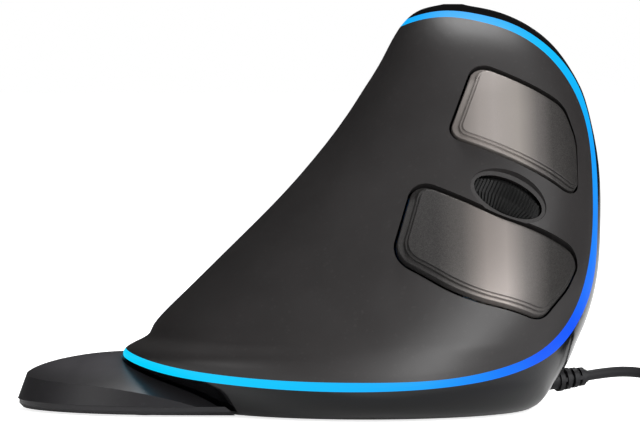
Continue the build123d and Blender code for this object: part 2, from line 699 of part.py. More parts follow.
# Scroll wheel, its cradle, encoder and switch
def wheel_tyre():
    """The rubber tyre: a crowned ring whose cross ribs follow the crown from side to side."""
    half = WHEEL_WIDTH / 2
    steps = []
    for share in TYRE_STEP_SHARES:
        radius = WHEEL_RADIUS - TYRE_CROWN_DROP * share ** 2
        steps.append(Pos(0, 0, share * half) * rib_outline(radius))
    ring = loft(steps, ruled=True) - Cylinder(WHEEL_RADIUS - TYRE_THICKNESS, WHEEL_WIDTH + OVERRUN)
    return FINGER * Pos(0, WHEEL_OFFSET, -WHEEL_DEPTH) * Rot(90, 0, 0) * ring


def rib_outline(radius):
    """The outline of the ribs round the wheel."""
    points = []
    for k in range(2 * WHEEL_RIBS):
        turn = math.pi * k / WHEEL_RIBS
        reach = radius - RIB_DEPTH * (k % 2)
        points.append((reach * math.cos(turn), reach * math.sin(turn)))
    return make_face(Polyline(*points, close=True))


def wheel_hub():
    """The hub: a rim, a thin web and a boss round the axle, with the axle in one piece."""
    outer = WHEEL_RADIUS - TYRE_THICKNESS
    low, high = WHEEL_OFFSET - WHEEL_WIDTH / 2, WHEEL_OFFSET + WHEEL_WIDTH / 2
    hub = cross_rod(0, -WHEEL_DEPTH, low, high, outer)
    for v0, v1 in ((low - OVERRUN, low + HUB_RECESS), (high - HUB_RECESS, high + OVERRUN)):
        hub -= cross_rod(0, -WHEEL_DEPTH, v0, v1, outer - HUB_RIM)
    hub += cross_rod(0, -WHEEL_DEPTH, low, high, HUB_BOSS_RADIUS)
    return FINGER * (hub + cross_rod(0, -WHEEL_DEPTH, AXLE_LOW_END, AXLE_HIGH_END, AXLE_RADIUS))


def wheel_cradle():
    """The cradle: a frame round the wheel with bearings, three sliding lugs and an arm over its switch."""
    low, high = -CRADLE_FOOT_DEPTH, -CRADLE_TOP_DEPTH
    reach, bar = CRADLE_REACH, CRADLE_BAR
    ring = box(-reach, reach, CRADLE_LOW, CRADLE_HIGH, low, high)
    ring -= box(-reach + bar, reach - bar, CRADLE_LOW + CRADLE_CHEEK, CRADLE_HIGH - CRADLE_CHEEK,
                low - OVERRUN, high + OVERRUN)
    half = LUG_SIZE / 2
    for u, v in post_places():
        ring += box(u - half, u + half, v - half, v + half, low, high)
        ring -= rod(u, v, low - OVERRUN, high + OVERRUN, LUG_BORE)
    arm_low = -ARM_RISE_DEPTH - ARM_THICKNESS
    ring += box(ARM_REAR, ARM_FRONT, CRADLE_HIGH - CRADLE_CHEEK, CRADLE_HIGH, low, -ARM_RISE_DEPTH)
    ring += box(ARM_REAR, ARM_FRONT, CRADLE_HIGH - CRADLE_CHEEK, ARM_REACH, arm_low, -ARM_RISE_DEPTH)
    bore = AXLE_RADIUS + AXLE_PLAY
    return FINGER * (ring - cross_rod(0, -WHEEL_DEPTH, -WHEEL_RADIUS, WHEEL_RADIUS, bore))


def wheel_encoder():
    """The encoder on the side of the cradle, which reads the turning axle."""
    half = ENCODER_HALF_LENGTH
    case = box(-half, half, CRADLE_HIGH, CRADLE_HIGH + ENCODER_WIDTH, -CRADLE_FOOT_DEPTH, -ENCODER_TOP_DEPTH)
    bore = cross_rod(0, -WHEEL_DEPTH, 0, WHEEL_RADIUS, AXLE_RADIUS + AXLE_PLAY)
    return FINGER * (case - bore)


def wheel_switch():
    """The small push switch that the cradle's arm presses."""
    u, v = WHEEL_SWITCH_AT
    half = WHEEL_SWITCH_SIZE / 2
    top = WHEEL_SWITCH_HEIGHT - KEY_BOARD_DEPTH
    case = box(u - half, u + half, v - half, v + half, -KEY_BOARD_DEPTH, top)
    return FINGER * (case + rod(u, v, top, top + WHEEL_SWITCH_RISE, WHEEL_SWITCH_BUTTON))


# Thumb side
def button_places():
    """Place and size of the three thumb-side buttons on their plane: name, centre, length, height."""
    side = (BUTTON_LENGTH, BUTTON_HEIGHT)
    return (
        ("back_button", (-BUTTON_PITCH / 2, 0), side),
        ("forward_button", (BUTTON_PITCH / 2, 0), side),
        ("dpi_button", (SPEED_ALONG, -SPEED_UP), (SPEED_LENGTH, SPEED_HEIGHT)),
    )


def button_prism(centre, size, grow):
    """A rounded outline through the thumb side, grown by a distance."""
    length, height = size[0] + 2 * grow, size[1] + 2 * grow
    corner = min(BUTTON_CORNER, size[1] * BUTTON_CORNER_SHARE) + grow
    sketch = Pos(*centre, -STEM_DEPTH) * RectangleRounded(length, height, corner)
    return THUMB * extrude(sketch, STEM_DEPTH + SIDE_BOARD_DEPTH)


def thumb_button(centre, size, proud, flange_top, flange_foot):
    """A thumb-side button: cap, retaining flange behind the shell and stem."""
    cap = (button_prism(centre, size, 0) & proud) - flange_foot
    flange = (button_prism(centre, size, FLANGE_MARGIN) & flange_top) - flange_foot
    stem = THUMB * rod(*centre, -STEM_DEPTH, SIDE_BOARD_DEPTH, STEM_RADIUS)
    return cap + flange + (stem & flange_top)


def side_board():
    """The board behind the thumb-side buttons."""
    half_length, half_width = SIDE_BOARD_HALF_LENGTH, SIDE_BOARD_HALF_WIDTH
    low, high = -SIDE_BOARD_DEPTH - SIDE_BOARD_THICKNESS, -SIDE_BOARD_DEPTH
    tab = SIDE_SWITCH_SIZE / 2 + OVERRUN
    plate = box(-half_length, half_length, -half_width, half_width, low, high)
    plate += box(SPEED_ALONG - tab, SPEED_ALONG + tab, -SPEED_UP - tab, 0, low, high)
    return THUMB * plate


def side_switches():
    """Three push switches on the side board, one behind each button."""
    half = SIDE_SWITCH_SIZE / 2
    found = []
    for name, (p, q), size in button_places():
        case = box(p - half, p + half, q - half, q + half, -SIDE_BOARD_DEPTH, -SIDE_SWITCH_TOP)
        cap = rod(p, q, -SIDE_SWITCH_TOP, SIDE_SWITCH_BUTTON - SIDE_SWITCH_TOP, STEM_RADIUS)
        found.append(THUMB * (case + cap))
    return Compound(children=[f.solid() for f in found])


def side_brackets(room):
    """The two brackets that carry the side board, each rooted in the wall over and under a button."""
    inner = BUTTON_HEIGHT / 2 + FLANGE_MARGIN + BUTTON_GAP
    outer = inner + BRACKET_THICKNESS
    half = BRACKET_THICKNESS / 2
    brackets = []
    for u in (-BRACKET_ALONG, BRACKET_ALONG):
        bracket = box(u - half, u + half, -outer, outer, -SIDE_BOARD_DEPTH, SIDE_BOARD_DEPTH)
        bracket -= box(u - BRACKET_THICKNESS, u + BRACKET_THICKNESS, -inner, inner, -BRACKET_BAR_DEPTH, REACH)
        brackets.append((THUMB * bracket) & room)
    return brackets


# Base: hull, boards, sensor, screws and feet
def screw_places():
    """All upright screws that enter from under the base."""
    return FRAME_SCREW_PLACES + SHELL_SCREW_PLACES + (PALM_SCREW_PLACE,)


def upright_screw(x, y, z, length=SCREW_LENGTH):
    """A screw with a socket in its head, which points upwards from a height."""
    head = rod(x, y, z, z + SCREW_HEAD_HEIGHT, SCREW_HEAD_RADIUS)
    shank = rod(x, y, z + SCREW_HEAD_HEIGHT, z + SCREW_HEAD_HEIGHT + length, SCREW_RADIUS)
    socket = Pos(x, y, z) * extrude(RegularPolygon(SCREW_SOCKET_RADIUS, 6), SCREW_SOCKET_DEPTH)
    return head + shank - socket


def group(shapes):
    """Separate solids as one piece."""
    return Compound(children=[s for shape in shapes for s in shape.solids()])


def base_hull(shell_parts, relief):
    """The hull and floor of the body with its posts, magnet holders, sensor window and foot pockets."""
    hull = shell_parts
    for x, y in screw_places():
        hull += rod(x, y, BASE_FLOOR - FLOOR_WALL / 2, POST_JOINT_HEIGHT, POST_OUTER_RADIUS)
        hull -= rod(x, y, 0, FLOOR_GAP + SCREW_HEAD_HEIGHT, SCREW_HEAD_RADIUS)
        hull -= rod(x, y, 0, BODY_HEIGHT, SCREW_RADIUS)
    for x, y in SUPPORT_PLACES:
        hull += rod(x, y, BASE_FLOOR - FLOOR_WALL / 2, BOARD_BOTTOM, SUPPORT_RADIUS)
    wall = MAGNET_RADIUS + MAGNET_HOLDER_WALL
    for y in (-MAGNET_SPREAD, MAGNET_SPREAD):
        rear, front = BASE_MAGNET_FACE - MAGNET_HOLDER_WALL, BASE_MAGNET_FACE + MAGNET_LENGTH
        low, high = BASE_FLOOR - FLOOR_WALL / 2, MAGNET_HEIGHT + MAGNET_RADIUS
        hull += box(rear, front, y - wall, y + wall, low, high)
        hull -= magnet(BASE_MAGNET_FACE, y)
    hull -= eye_window(0, BASE_FLOOR + OVERRUN, 0)
    for pocket in skates(FLOOR_GAP):
        hull -= pocket
    return hull - relief


def magnet(face, y):
    """A round magnet lying along X, from its rear face forwards."""
    place = Pos(face + MAGNET_LENGTH / 2, y, MAGNET_HEIGHT)
    return place * Rot(0, 90, 0) * Cylinder(MAGNET_RADIUS, MAGNET_LENGTH)


def eye_window(z0, z1, grow):
    """The window for the sensor through the floor."""
    length, width = EYE_LENGTH + 2 * grow, EYE_WIDTH + 2 * grow
    sketch = Pos(*SENSOR_AT, z0) * RectangleRounded(length, width, EYE_WIDTH / 3)
    return extrude(sketch, z1 - z0)


def skates(lift):
    """The rear skate, the front skate and the ring round the sensor, from a height up."""
    top = SKATE_THICKNESS
    rear_slot = SlotOverall(REAR_SKATE_WIDTH, REAR_SKATE_LENGTH, rotation=90)
    front_slot = SlotOverall(FRONT_SKATE_WIDTH, FRONT_SKATE_LENGTH, rotation=90)
    rear = level(Pos(*REAR_SKATE_AT) * rear_slot, lift, top)
    front = level(Pos(*FRONT_SKATE_AT) * front_slot, lift, top)
    inner = SENSOR_RING_MARGIN
    ring = eye_window(lift, top, inner + SENSOR_RING_WIDTH) - eye_window(lift, top, inner)
    return [rear, front, ring]


def main_board():
    """The main board on the floor's supports, with openings for the posts and the sensor."""
    middle_x = (MAIN_BOARD_REAR + MAIN_BOARD_FRONT) / 2
    middle_y = (MAIN_BOARD_NEAR + MAIN_BOARD_FAR) / 2
    size = (MAIN_BOARD_FRONT - MAIN_BOARD_REAR, MAIN_BOARD_FAR - MAIN_BOARD_NEAR)
    sketch = Pos(middle_x, middle_y) * RectangleRounded(*size, MAIN_BOARD_CORNER)
    board = level(sketch, BOARD_BOTTOM, BOARD_TOP)
    for x, y in screw_places():
        board -= rod(x, y, 0, BODY_HEIGHT, POST_OUTER_RADIUS + BOARD_PLAY)
    sx, sy = SENSOR_AT
    half = SENSOR_WINDOW / 2
    return board - box(sx - half, sx + half, sy - half, sy + half, 0, BODY_HEIGHT)


def optical_sensor():
    """The sensor chip, over the opening in the main board."""
    x, y = SENSOR_AT
    chip = box(x - SENSOR_LENGTH / 2, x + SENSOR_LENGTH / 2, y - SENSOR_WIDTH / 2, y + SENSOR_WIDTH / 2,
               BOARD_TOP, BOARD_TOP + SENSOR_HEIGHT)
    return chip


def sensor_lens():
    """The clear lens plate between the board and the floor, with its barrel in the window."""
    x, y = SENSOR_AT
    plate = box(x - LENS_LENGTH / 2, x + LENS_LENGTH / 2, y - LENS_WIDTH / 2, y + LENS_WIDTH / 2,
                BASE_FLOOR, BASE_FLOOR + LENS_THICKNESS)
    return plate + rod(x, y, BASE_FLOOR - LENS_BARREL_DROP, BASE_FLOOR, LENS_BARREL_RADIUS)


def header(x, y, length, width):
    """A cable header on the main board."""
    top = BOARD_TOP + HEADER_HEIGHT
    return box(x - length / 2, x + length / 2, y - width / 2, y + width / 2, BOARD_TOP, top)


def ribbon_socket():
    """The socket of the ribbon on the key board."""
    half = RIBBON_SOCKET_LENGTH / 2
    rear, front = RIBBON_SHIFT - half, RIBBON_SHIFT + half
    foot, top = -KEY_BOARD_DEPTH, -RIBBON_HEADER_DEPTH
    return FINGER * box(rear, front, RIBBON_HEADER_LOW, RIBBON_HEADER_HIGH, foot, top)


def ribbon_foot():
    """The socket of the ribbon on the main board, under the end of the ribbon."""
    v, depth = RIBBON_ROUTE[-1]
    end = FINGER.origin + FINGER.x_dir * RIBBON_SHIFT + FINGER.y_dir * v - FINGER.z_dir * depth
    return header(end.X, end.Y, RIBBON_SOCKET_LENGTH, RIBBON_FOOT_WIDTH)


def board_cable(foot, socket):
    """The flat cable from the key board down to the main board."""
    points = [(v, -depth) for v, depth in RIBBON_ROUTE]
    path = FilletPolyline(*points, radius=RIBBON_THICKNESS * 3)
    band = offset(path, amount=RIBBON_THICKNESS / 2, kind=Kind.TANGENT)
    start = FINGER.origin + FINGER.x_dir * (RIBBON_SHIFT - RIBBON_WIDTH / 2)
    across = Plane(origin=start, x_dir=FINGER.y_dir, z_dir=FINGER.x_dir)
    return across * extrude(make_face(band), RIBBON_WIDTH) - foot - socket


# Light under the strip
def led_posts():
    """Prisms along Y at the places of the light-emitting diodes."""
    half = LED_SIZE / 2
    posts = []
    for sx, sz in LED_PLACE_SHARES:
        x, z = sx * BODY_LENGTH, sz * BODY_HEIGHT
        posts.append(box(x - half, x + half, -BODY_WIDTH, 0, z - half, z + half))
    return posts


# Palm rest
def rest_sketch(inset=0.0):
    """The rest's outline on the desk: a crescent whose front end is cut later by the body."""
    reach, half_width = -REST_REAR - inset, REST_HALF_WIDTH - inset
    points = [(-reach * sx, REST_MIDDLE + half_width * sy) for sx, sy in REST_OUTLINE_SHARES]
    fore = REST_REAR * REST_FORE_SHARE
    edge = Spline(*points)
    back = Polyline(points[-1], (fore, points[-1][1]), (fore, points[0][1]), points[0])
    return make_face(Wire(edge.edges() + back.edges()))


def rest_dome(drop):
    """The ball whose top is the rest's upper face, lowered by a distance."""
    x, y = REST_DOME_AT
    return Pos(x, y, REST_HEIGHT - REST_DOME_RADIUS) * Sphere(REST_DOME_RADIUS - drop)


def rest_block(inset, z0, z1, draft=REST_DRAFT):
    """The block of the rest, whose side walls lean inwards."""
    lean = (z1 - z0) * math.tan(math.radians(draft))
    foot = Pos(0, 0, z0) * rest_sketch(inset)
    return loft([foot, Pos(0, 0, z1) * rest_sketch(inset + lean)], ruled=True)


def magnet_holder(y, grow):
    """The block on the plate that holds a magnet, or the room for it in the cover."""
    wall = MAGNET_RADIUS + MAGNET_HOLDER_WALL + grow
    rear = REST_MAGNET_FACE - MAGNET_HOLDER_WALL - grow
    top = MAGNET_HEIGHT + MAGNET_RADIUS + grow
    return box(rear, REST_MAGNET_FACE + MAGNET_LENGTH + grow, y - wall, y + wall, REST_SEAM - OVERRUN, top)


def rest_cover(around, around_wide):
    """The upper half of the rest: a wall of even thickness with bosses for its screws."""
    top = REST_HEIGHT + OVERRUN
    cover = (rest_block(0, REST_SEAM, top) & rest_dome(0)) - around
    hollow = (rest_block(REST_WALL, REST_SEAM, top) & rest_dome(REST_WALL)) - around_wide
    cover = cover - hollow
    for x, y in REST_SCREW_PLACES:
        cover += rod(x, y, REST_SEAM, top, POST_OUTER_RADIUS) & rest_dome(REST_WALL / 2)
        cover -= rod(x, y, 0, REST_SEAM + REST_HEIGHT / 3, SCREW_RADIUS)
    for y in (-MAGNET_SPREAD, MAGNET_SPREAD):
        cover -= magnet_holder(y, BOARD_PLAY)
    return cover


def rest_plate(around):
    """The lower half of the rest, with magnet holders, screw holes and foot pockets."""
    low = FLOOR_GAP + REST_PLATE_BEVEL
    plate = level(rest_sketch(REST_SEAM_STEP), low, REST_SEAM)
    narrow = Pos(0, 0, FLOOR_GAP) * rest_sketch(REST_SEAM_STEP + REST_PLATE_BEVEL)
    plate += loft([narrow, Pos(0, 0, low) * rest_sketch(REST_SEAM_STEP)], ruled=True)
    for y in (-MAGNET_SPREAD, MAGNET_SPREAD):
        plate += magnet_holder(y, 0)
    plate -= around
    for y in (-MAGNET_SPREAD, MAGNET_SPREAD):
        plate -= magnet(REST_MAGNET_FACE, y)
    for x, y in REST_SCREW_PLACES:
        plate -= rod(x, y, 0, FLOOR_GAP + SCREW_HEAD_HEIGHT, SCREW_HEAD_RADIUS)
        plate -= rod(x, y, 0, REST_HEIGHT, SCREW_RADIUS)
    for x, y in REST_PAD_PLACES:
        plate -= rod(x, y, 0, SKATE_THICKNESS, REST_PAD_RADIUS)
    return plate


# Cable
def relief_plane():
    """The plane across the cable where it leaves the body."""
    yaw, pitch = math.radians(RELIEF_YAW), math.radians(RELIEF_PITCH)
    heading = (math.cos(yaw) * math.cos(pitch), math.sin(yaw) * math.cos(pitch), math.sin(pitch))
    return Plane(origin=RELIEF_EXIT, z_dir=heading)


def strain_relief():
    """The boot: inner flange, neck through the wall, and ribs that get smaller outwards."""
    place = relief_plane()
    flange_end = RELIEF_FLANGE_THICKNESS - RELIEF_FLANGE_SETBACK
    boot = rod(0, 0, -RELIEF_FLANGE_SETBACK, flange_end, RELIEF_FLANGE_RADIUS)
    boot += rod(0, 0, flange_end, RELIEF_COLLAR, RELIEF_NECK_RADIUS)
    pitch = (RELIEF_LENGTH - RELIEF_COLLAR) / RELIEF_RIBS
    core = RELIEF_LAST_RADIUS - RELIEF_GROOVE_DEPTH
    boot += rod(0, 0, RELIEF_COLLAR, RELIEF_LENGTH, core)
    for k in range(RELIEF_RIBS):
        start = RELIEF_COLLAR + k * pitch
        radius = RELIEF_FIRST_RADIUS + (RELIEF_LAST_RADIUS - RELIEF_FIRST_RADIUS) * k / (RELIEF_RIBS - 1)
        boot += rod(0, 0, start, start + pitch - RELIEF_GROOVE, radius)
    half = RELIEF_GROOVE / 2
    for k in range(RELIEF_RIBS - 1):
        start = RELIEF_COLLAR + (k + 1) * pitch - RELIEF_GROOVE
        end = start + RELIEF_GROOVE
        bridge = box(-half, half, -RELIEF_LAST_RADIUS, RELIEF_LAST_RADIUS, start, end)
        boot += bridge if k % 2 else Rot(0, 0, 90) * bridge
    return place * boot


def relief_neck():
    """The space that the boot takes in the wall."""
    place = relief_plane()
    neck = rod(0, 0, -RELIEF_FLANGE_SETBACK - OVERRUN, RELIEF_LENGTH, RELIEF_NECK_RADIUS)
    return place * neck


def relief_pocket():
    """The room for the boot's flange behind the wall."""
    place = relief_plane()
    end = RELIEF_FLANGE_THICKNESS - RELIEF_FLANGE_SETBACK
    return place * rod(0, 0, -RELIEF_FLANGE_SETBACK - RELIEF_POCKET_BACK, end, RELIEF_FLANGE_RADIUS)


def tube(path):
    """A round tube of the cable's diameter along a path."""
    start = path @ 0
    return sweep(Plane(origin=start, z_dir=path % 0) * Circle(CABLE_DIAMETER / 2), path=path)


def bend_radii(points):
    """The largest tangent arc at each corner, from its shorter run and its turn in degrees."""
    radii = []
    for a, b, c in zip(points, points[1:], points[2:]):
        first, second = Vector(b) - Vector(a), Vector(c) - Vector(b)
        half_turn = math.radians(first.get_angle(second)) / 2
        radii.append(ARC_SHARE * min(first.length, second.length) / math.tan(half_turn))
    return radii


def cord_tube(name, points):
    """A tube of straight runs joined by tangent arcs, with its radii and its volume printed."""
    radii = bend_radii(points)
    path = FilletPolyline(*points, radius=radii)
    solid = tube(Wire(path.edges()))
    section = math.pi * (CABLE_DIAMETER / 2) ** 2
    print(name, "bend radii", [round(r, 1) for r in radii], "length", round(path.length, 1))
    print(name, "volume over section times length", round(solid.volume / (section * path.length), 4))
    return solid, path.length


def coil_height(layer):
    """Height of the cable's middle in a layer of the coil."""
    return CABLE_DIAMETER / 2 + COIL_LIFT + layer * COIL_LAYER_STEP


def coil_centre():
    """The centre of the coil, to the right of where the lead enters it."""
    heading = math.radians(COIL_HEADING)
    right = Vector(math.sin(heading), -math.cos(heading), 0)
    return Vector(COIL_ENTRY[0], COIL_ENTRY[1], 0) + right * COIL_OUTER_RADIUS


def coil_joints():
    """Radius and layer at the end of each half turn: the turns spiral in and out, and climb in between."""
    half_turns = 2 * COIL_TURNS_A_LAYER
    inner = COIL_OUTER_RADIUS - half_turns * COIL_PITCH / 2
    joints = [(COIL_OUTER_RADIUS, 0)]
    for layer in range(COIL_LAYERS):
        start = joints[-1][0]
        goal = inner if layer % 2 == 0 else COIL_OUTER_RADIUS
        for k in range(half_turns):
            joints.append((start + (goal - start) * (k + 1) / half_turns, layer))
        if layer < COIL_LAYERS - 1:
            joints.append((joints[-1][0], layer + 1))
    joints.append((joints[-1][0] + COIL_PITCH / 2, COIL_LAYERS - 1))
    return joints


def coil_points():
    """The ends of the half turns, on one line through the coil's centre."""
    heading = math.radians(COIL_HEADING)
    left = Vector(-math.sin(heading), math.cos(heading), 0)
    points = []
    for k, (radius, layer) in enumerate(coil_joints()):
        side = left if k % 2 == 0 else left * -1
        points.append(coil_centre() + side * radius + Vector(0, 0, coil_height(layer)))
    return points


def coil_path():
    """The coil's middle line: a chain of half circles that share their tangents."""
    heading = math.radians(COIL_HEADING)
    ahead = Vector(math.cos(heading), math.sin(heading), 0)
    points = coil_points()
    arcs = []
    for k, (a, b) in enumerate(zip(points, points[1:])):
        bulge = ahead if k % 2 == 0 else ahead * -1
        arcs.append(ThreePointArc(a, (a + b) * 0.5 + bulge * ((b - a).length / 2), b))
    return Wire([arc.edge() for arc in arcs])


def least_gap(path):
    """The coil's least gap to itself, measured between points that lie over half a turn apart."""
    points = [tuple(path @ (k / GAP_SAMPLES)) for k in range(GAP_SAMPLES + 1)]
    apart = int(2 * COIL_OUTER_RADIUS / path.length * GAP_SAMPLES)
    least = min(math.dist(points[i], points[j])
                for i in range(GAP_SAMPLES) for j in range(i + apart, GAP_SAMPLES + 1))
    return least - CABLE_DIAMETER


def coil_tie():
    """The band round the bundle of the coil, on the side away from the entry."""
    heading = math.radians(COIL_HEADING)
    inner = min(radius for radius, layer in coil_joints()) - CABLE_DIAMETER / 2 - TIE_GAP
    outer = COIL_OUTER_RADIUS + COIL_PITCH / 4 + CABLE_DIAMETER / 2 + TIE_GAP
    low = coil_height(0) - CABLE_DIAMETER / 2 - TIE_THICKNESS / 8
    high = coil_height(COIL_LAYERS - 1) + CABLE_DIAMETER / 2 + TIE_GAP
    half = TIE_WIDTH / 2
    wall = TIE_THICKNESS
    band = box(inner - wall, outer + wall, -half, half, low - wall, high + wall)
    band -= box(inner, outer, -half - OVERRUN, half + OVERRUN, low, high)
    centre = coil_centre()
    return Pos(centre.X, centre.Y, 0) * Rot(0, 0, math.degrees(heading) + 180) * band


# Plug
def plug_plane():
    """The plane of the plug's rear end, with the cable coming in along its normal."""
    heading = math.radians(PLUG_HEADING)
    ahead = Vector(math.cos(heading), math.sin(heading), 0)
    return Plane(origin=plug_route()[-1], x_dir=(-ahead.Y, ahead.X, 0), z_dir=ahead)


def plug_route():
    """The tail from the coil's end down to the plug, given ahead of and beside the coil's end."""
    heading = math.radians(COIL_HEADING)
    ahead = Vector(math.cos(heading), math.sin(heading), 0)
    beside = Vector(-ahead.Y, ahead.X, 0)
    start = coil_points()[-1]
    foot = Vector(start.X, start.Y, 0)
    route = [start]
    for forward, sideways, height in PLUG_ROUTE + (PLUG_END,):
        route.append(foot + ahead * forward + beside * sideways + Vector(0, 0, height))
    return route


def plug_profile(width, thickness, corner, z0, z1):
    """A flat rounded block along the plug's axis."""
    return extrude(Pos(0, 0, z0) * RectangleRounded(width, thickness, corner), z1 - z0)


def usb_grip():
    """The moulded grip with a narrower nose where the cable enters."""
    nose = plug_profile(GRIP_NOSE_WIDTH, GRIP_NOSE_THICKNESS, GRIP_CORNER, 0, GRIP_NOSE_LENGTH)
    end = GRIP_NOSE_LENGTH + GRIP_LENGTH
    body = plug_profile(GRIP_WIDTH, GRIP_THICKNESS, GRIP_CORNER, GRIP_NOSE_LENGTH, end)
    ends = body.faces().filter_by(Axis.Z)
    body = chamfer(ends.edges(), GRIP_CORNER / 3)
    return plug_plane() * (nose + body)


def usb_shell():
    """The metal shell of the plug with its two square holes on each broad side."""
    start = GRIP_NOSE_LENGTH + GRIP_LENGTH
    end = start + PLUG_SHELL_LENGTH
    wall = PLUG_SHELL_WALL
    shell = plug_profile(PLUG_SHELL_WIDTH, PLUG_SHELL_THICKNESS, wall * 2, start, end)
    inner_width, inner_thickness = PLUG_SHELL_WIDTH - 2 * wall, PLUG_SHELL_THICKNESS - 2 * wall
    shell -= plug_profile(inner_width, inner_thickness, wall, start, end + OVERRUN)
    hole = PLUG_SHELL_WIDTH / 6
    low, high = (start + end - hole) / 2, (start + end + hole) / 2
    for side in (-hole, hole):
        shell -= box(side - hole / 2, side + hole / 2, -GRIP_THICKNESS, GRIP_THICKNESS, low, high)
    return plug_plane() * shell


def usb_tongue():
    """The insulator that carries the contacts inside the shell."""
    start = GRIP_NOSE_LENGTH + GRIP_LENGTH
    end = start + PLUG_SHELL_LENGTH - PLUG_TONGUE_SETBACK
    half = PLUG_SHELL_WIDTH / 2 - PLUG_SHELL_WALL * 2
    floor = PLUG_SHELL_WALL - PLUG_SHELL_THICKNESS / 2
    return plug_plane() * box(-half, half, floor, floor + PLUG_TONGUE_THICKNESS, start, end)


# Shells
OUTER = body_form()
HOLLOW = inner_form(WALL)
LED_BACK = inner_form(WALL + LED_HEIGHT)
FLEX_BACK = inner_form(WALL + LED_HEIGHT + FLEX_THICKNESS)
THUMB_SIDE = thumb_side_block()
NEAR, FAR = OUTER - THUMB_SIDE, OUTER & THUMB_SIDE
NEAR_INNER, NEAR_OUTER = near_region(STRIP_INNER_SHARES), near_region(STRIP_OUTER_SHARES)
WRAP_INNER, WRAP_OUTER = near_region(WRAP_INNER_SHARES), near_region(WRAP_OUTER_SHARES)
LEFT_FACE = outline(LEFT_KEY_SHARES, LEFT_KEY_CORNER_SHARES, KEY_LENGTH, KEY_WIDTH)
RIGHT_FACE = outline(RIGHT_KEY_SHARES, RIGHT_KEY_CORNER_SHARES, LOWER_KEY_LENGTH, LOWER_KEY_WIDTH)

palm_shell = (NEAR & NEAR_INNER) - HOLLOW - finger_openings(LEFT_FACE, RIGHT_FACE)
palm_shell += (FAR & WRAP_INNER) - HOLLOW
palm_shell += rear_tip(OUTER) & NEAR_INNER & WRAP_INNER
palm_boss = rod(*PALM_SCREW_PLACE, POST_JOINT_HEIGHT, BODY_HEIGHT / 2, POST_OUTER_RADIUS) & HOLLOW
palm_hole = rod(*PALM_SCREW_PLACE, 0, FLOOR_GAP + SCREW_HEAD_HEIGHT + SCREW_LENGTH, SCREW_RADIUS)
palm_shell = palm_shell + palm_boss - palm_hole
save("palm_shell", palm_shell)

light_strip = (NEAR & NEAR_OUTER) - NEAR_INNER - HOLLOW
light_strip += (FAR & WRAP_OUTER) - WRAP_INNER - HOLLOW
save("light_strip", light_strip)

hull_top = HULL_TOP_SHARE * BODY_HEIGHT
ledge_top = LEDGE_TOP_SHARE * BODY_HEIGHT
near_rim = NEAR - NEAR_OUTER - HOLLOW
far_rim = FAR - WRAP_OUTER - HOLLOW
hull_space = box(-REACH, REACH, -REACH, REACH, -REACH, hull_top)
ledge_space = box(-REACH, REACH, -REACH, REACH, -REACH, ledge_top)

thumb_shell = (near_rim - hull_space) + (far_rim - ledge_space)
for place in SHELL_SCREW_PLACES:
    thumb_shell += rod(*place, POST_JOINT_HEIGHT, BODY_HEIGHT / 2, POST_OUTER_RADIUS) & HOLLOW
    thumb_shell -= rod(*place, 0, FLOOR_GAP + SCREW_HEAD_HEIGHT + SCREW_LENGTH, SCREW_RADIUS)
for bracket in side_brackets(inner_form(WALL / 2)):
    thumb_shell += bracket
for name, centre, size in button_places():
    thumb_shell -= button_prism(centre, size, BUTTON_GAP)
thumb_shell -= relief_neck() + relief_pocket()
save("thumb_shell", thumb_shell)

hull = (near_rim & hull_space) + (far_rim & ledge_space)
save("base", base_hull(hull, relief_neck() + relief_pocket()))

# Keys and what they press
LEFT_KEY = (LEFT_KEY_CREST, LEFT_KEY_TILT, LEFT_KEY_HINGE_AT, LEFT_KEY_PRESS_AT, LEFT_PIN_DEPTH)
RIGHT_KEY = (RIGHT_KEY_CREST, RIGHT_KEY_TILT, RIGHT_KEY_HINGE_AT, RIGHT_KEY_PRESS_AT, RIGHT_PIN_DEPTH)
save("left_key", key_piece(OUTER, LEFT_FACE, *LEFT_KEY))
save("right_key", key_piece(OUTER, RIGHT_FACE, *RIGHT_KEY))
left_pin, right_pin = key_pin(LEFT_KEY_HINGE_AT, LEFT_PIN_DEPTH), key_pin(RIGHT_KEY_HINGE_AT, RIGHT_PIN_DEPTH)
save("key_pins", group([left_pin, right_pin]))
save("left_key_switch", microswitch(LEFT_KEY_PRESS_AT))
save("right_key_switch", microswitch(RIGHT_KEY_PRESS_AT))
save("key_board", key_board())
save("inner_frame", inner_frame())

# Wheel
save("wheel_tyre", wheel_tyre())
save("wheel_hub", wheel_hub())
save("wheel_cradle", wheel_cradle())
save("wheel_encoder", wheel_encoder())
save("wheel_switch", wheel_switch())

# Thumb side
PROUD = body_form(-BUTTON_PROUD)
FLANGE_TOP, FLANGE_FOOT = inner_form(FLANGE_FROM), inner_form(FLANGE_TO)
for name, centre, size in button_places():
    save(name, thumb_button(centre, size, PROUD, FLANGE_TOP, FLANGE_FOOT))
save("side_board", side_board())
save("side_switches", side_switches())

# Base
save("main_board", main_board())
save("optical_sensor", optical_sensor())
save("sensor_lens", sensor_lens())
save("cable_header", header(*CABLE_HEADER_AT, HEADER_WIDTH, HEADER_LENGTH))
save("ribbon_sockets", group([ribbon_socket(), ribbon_foot()]))
save("board_cable", board_cable(ribbon_foot(), ribbon_socket()))
save("frame_screws", group([upright_screw(x, y, FLOOR_GAP) for x, y in FRAME_SCREW_PLACES]))
base_screw_places = SHELL_SCREW_PLACES + (PALM_SCREW_PLACE,)
save("base_screws", group([upright_screw(x, y, FLOOR_GAP) for x, y in base_screw_places]))
rear_skate, front_skate, sensor_ring = skates(0)
save("rear_skate", rear_skate)
save("front_skate", front_skate)
save("sensor_ring", sensor_ring)
save("base_magnets", group([magnet(BASE_MAGNET_FACE, y) for y in (-MAGNET_SPREAD, MAGNET_SPREAD)]))

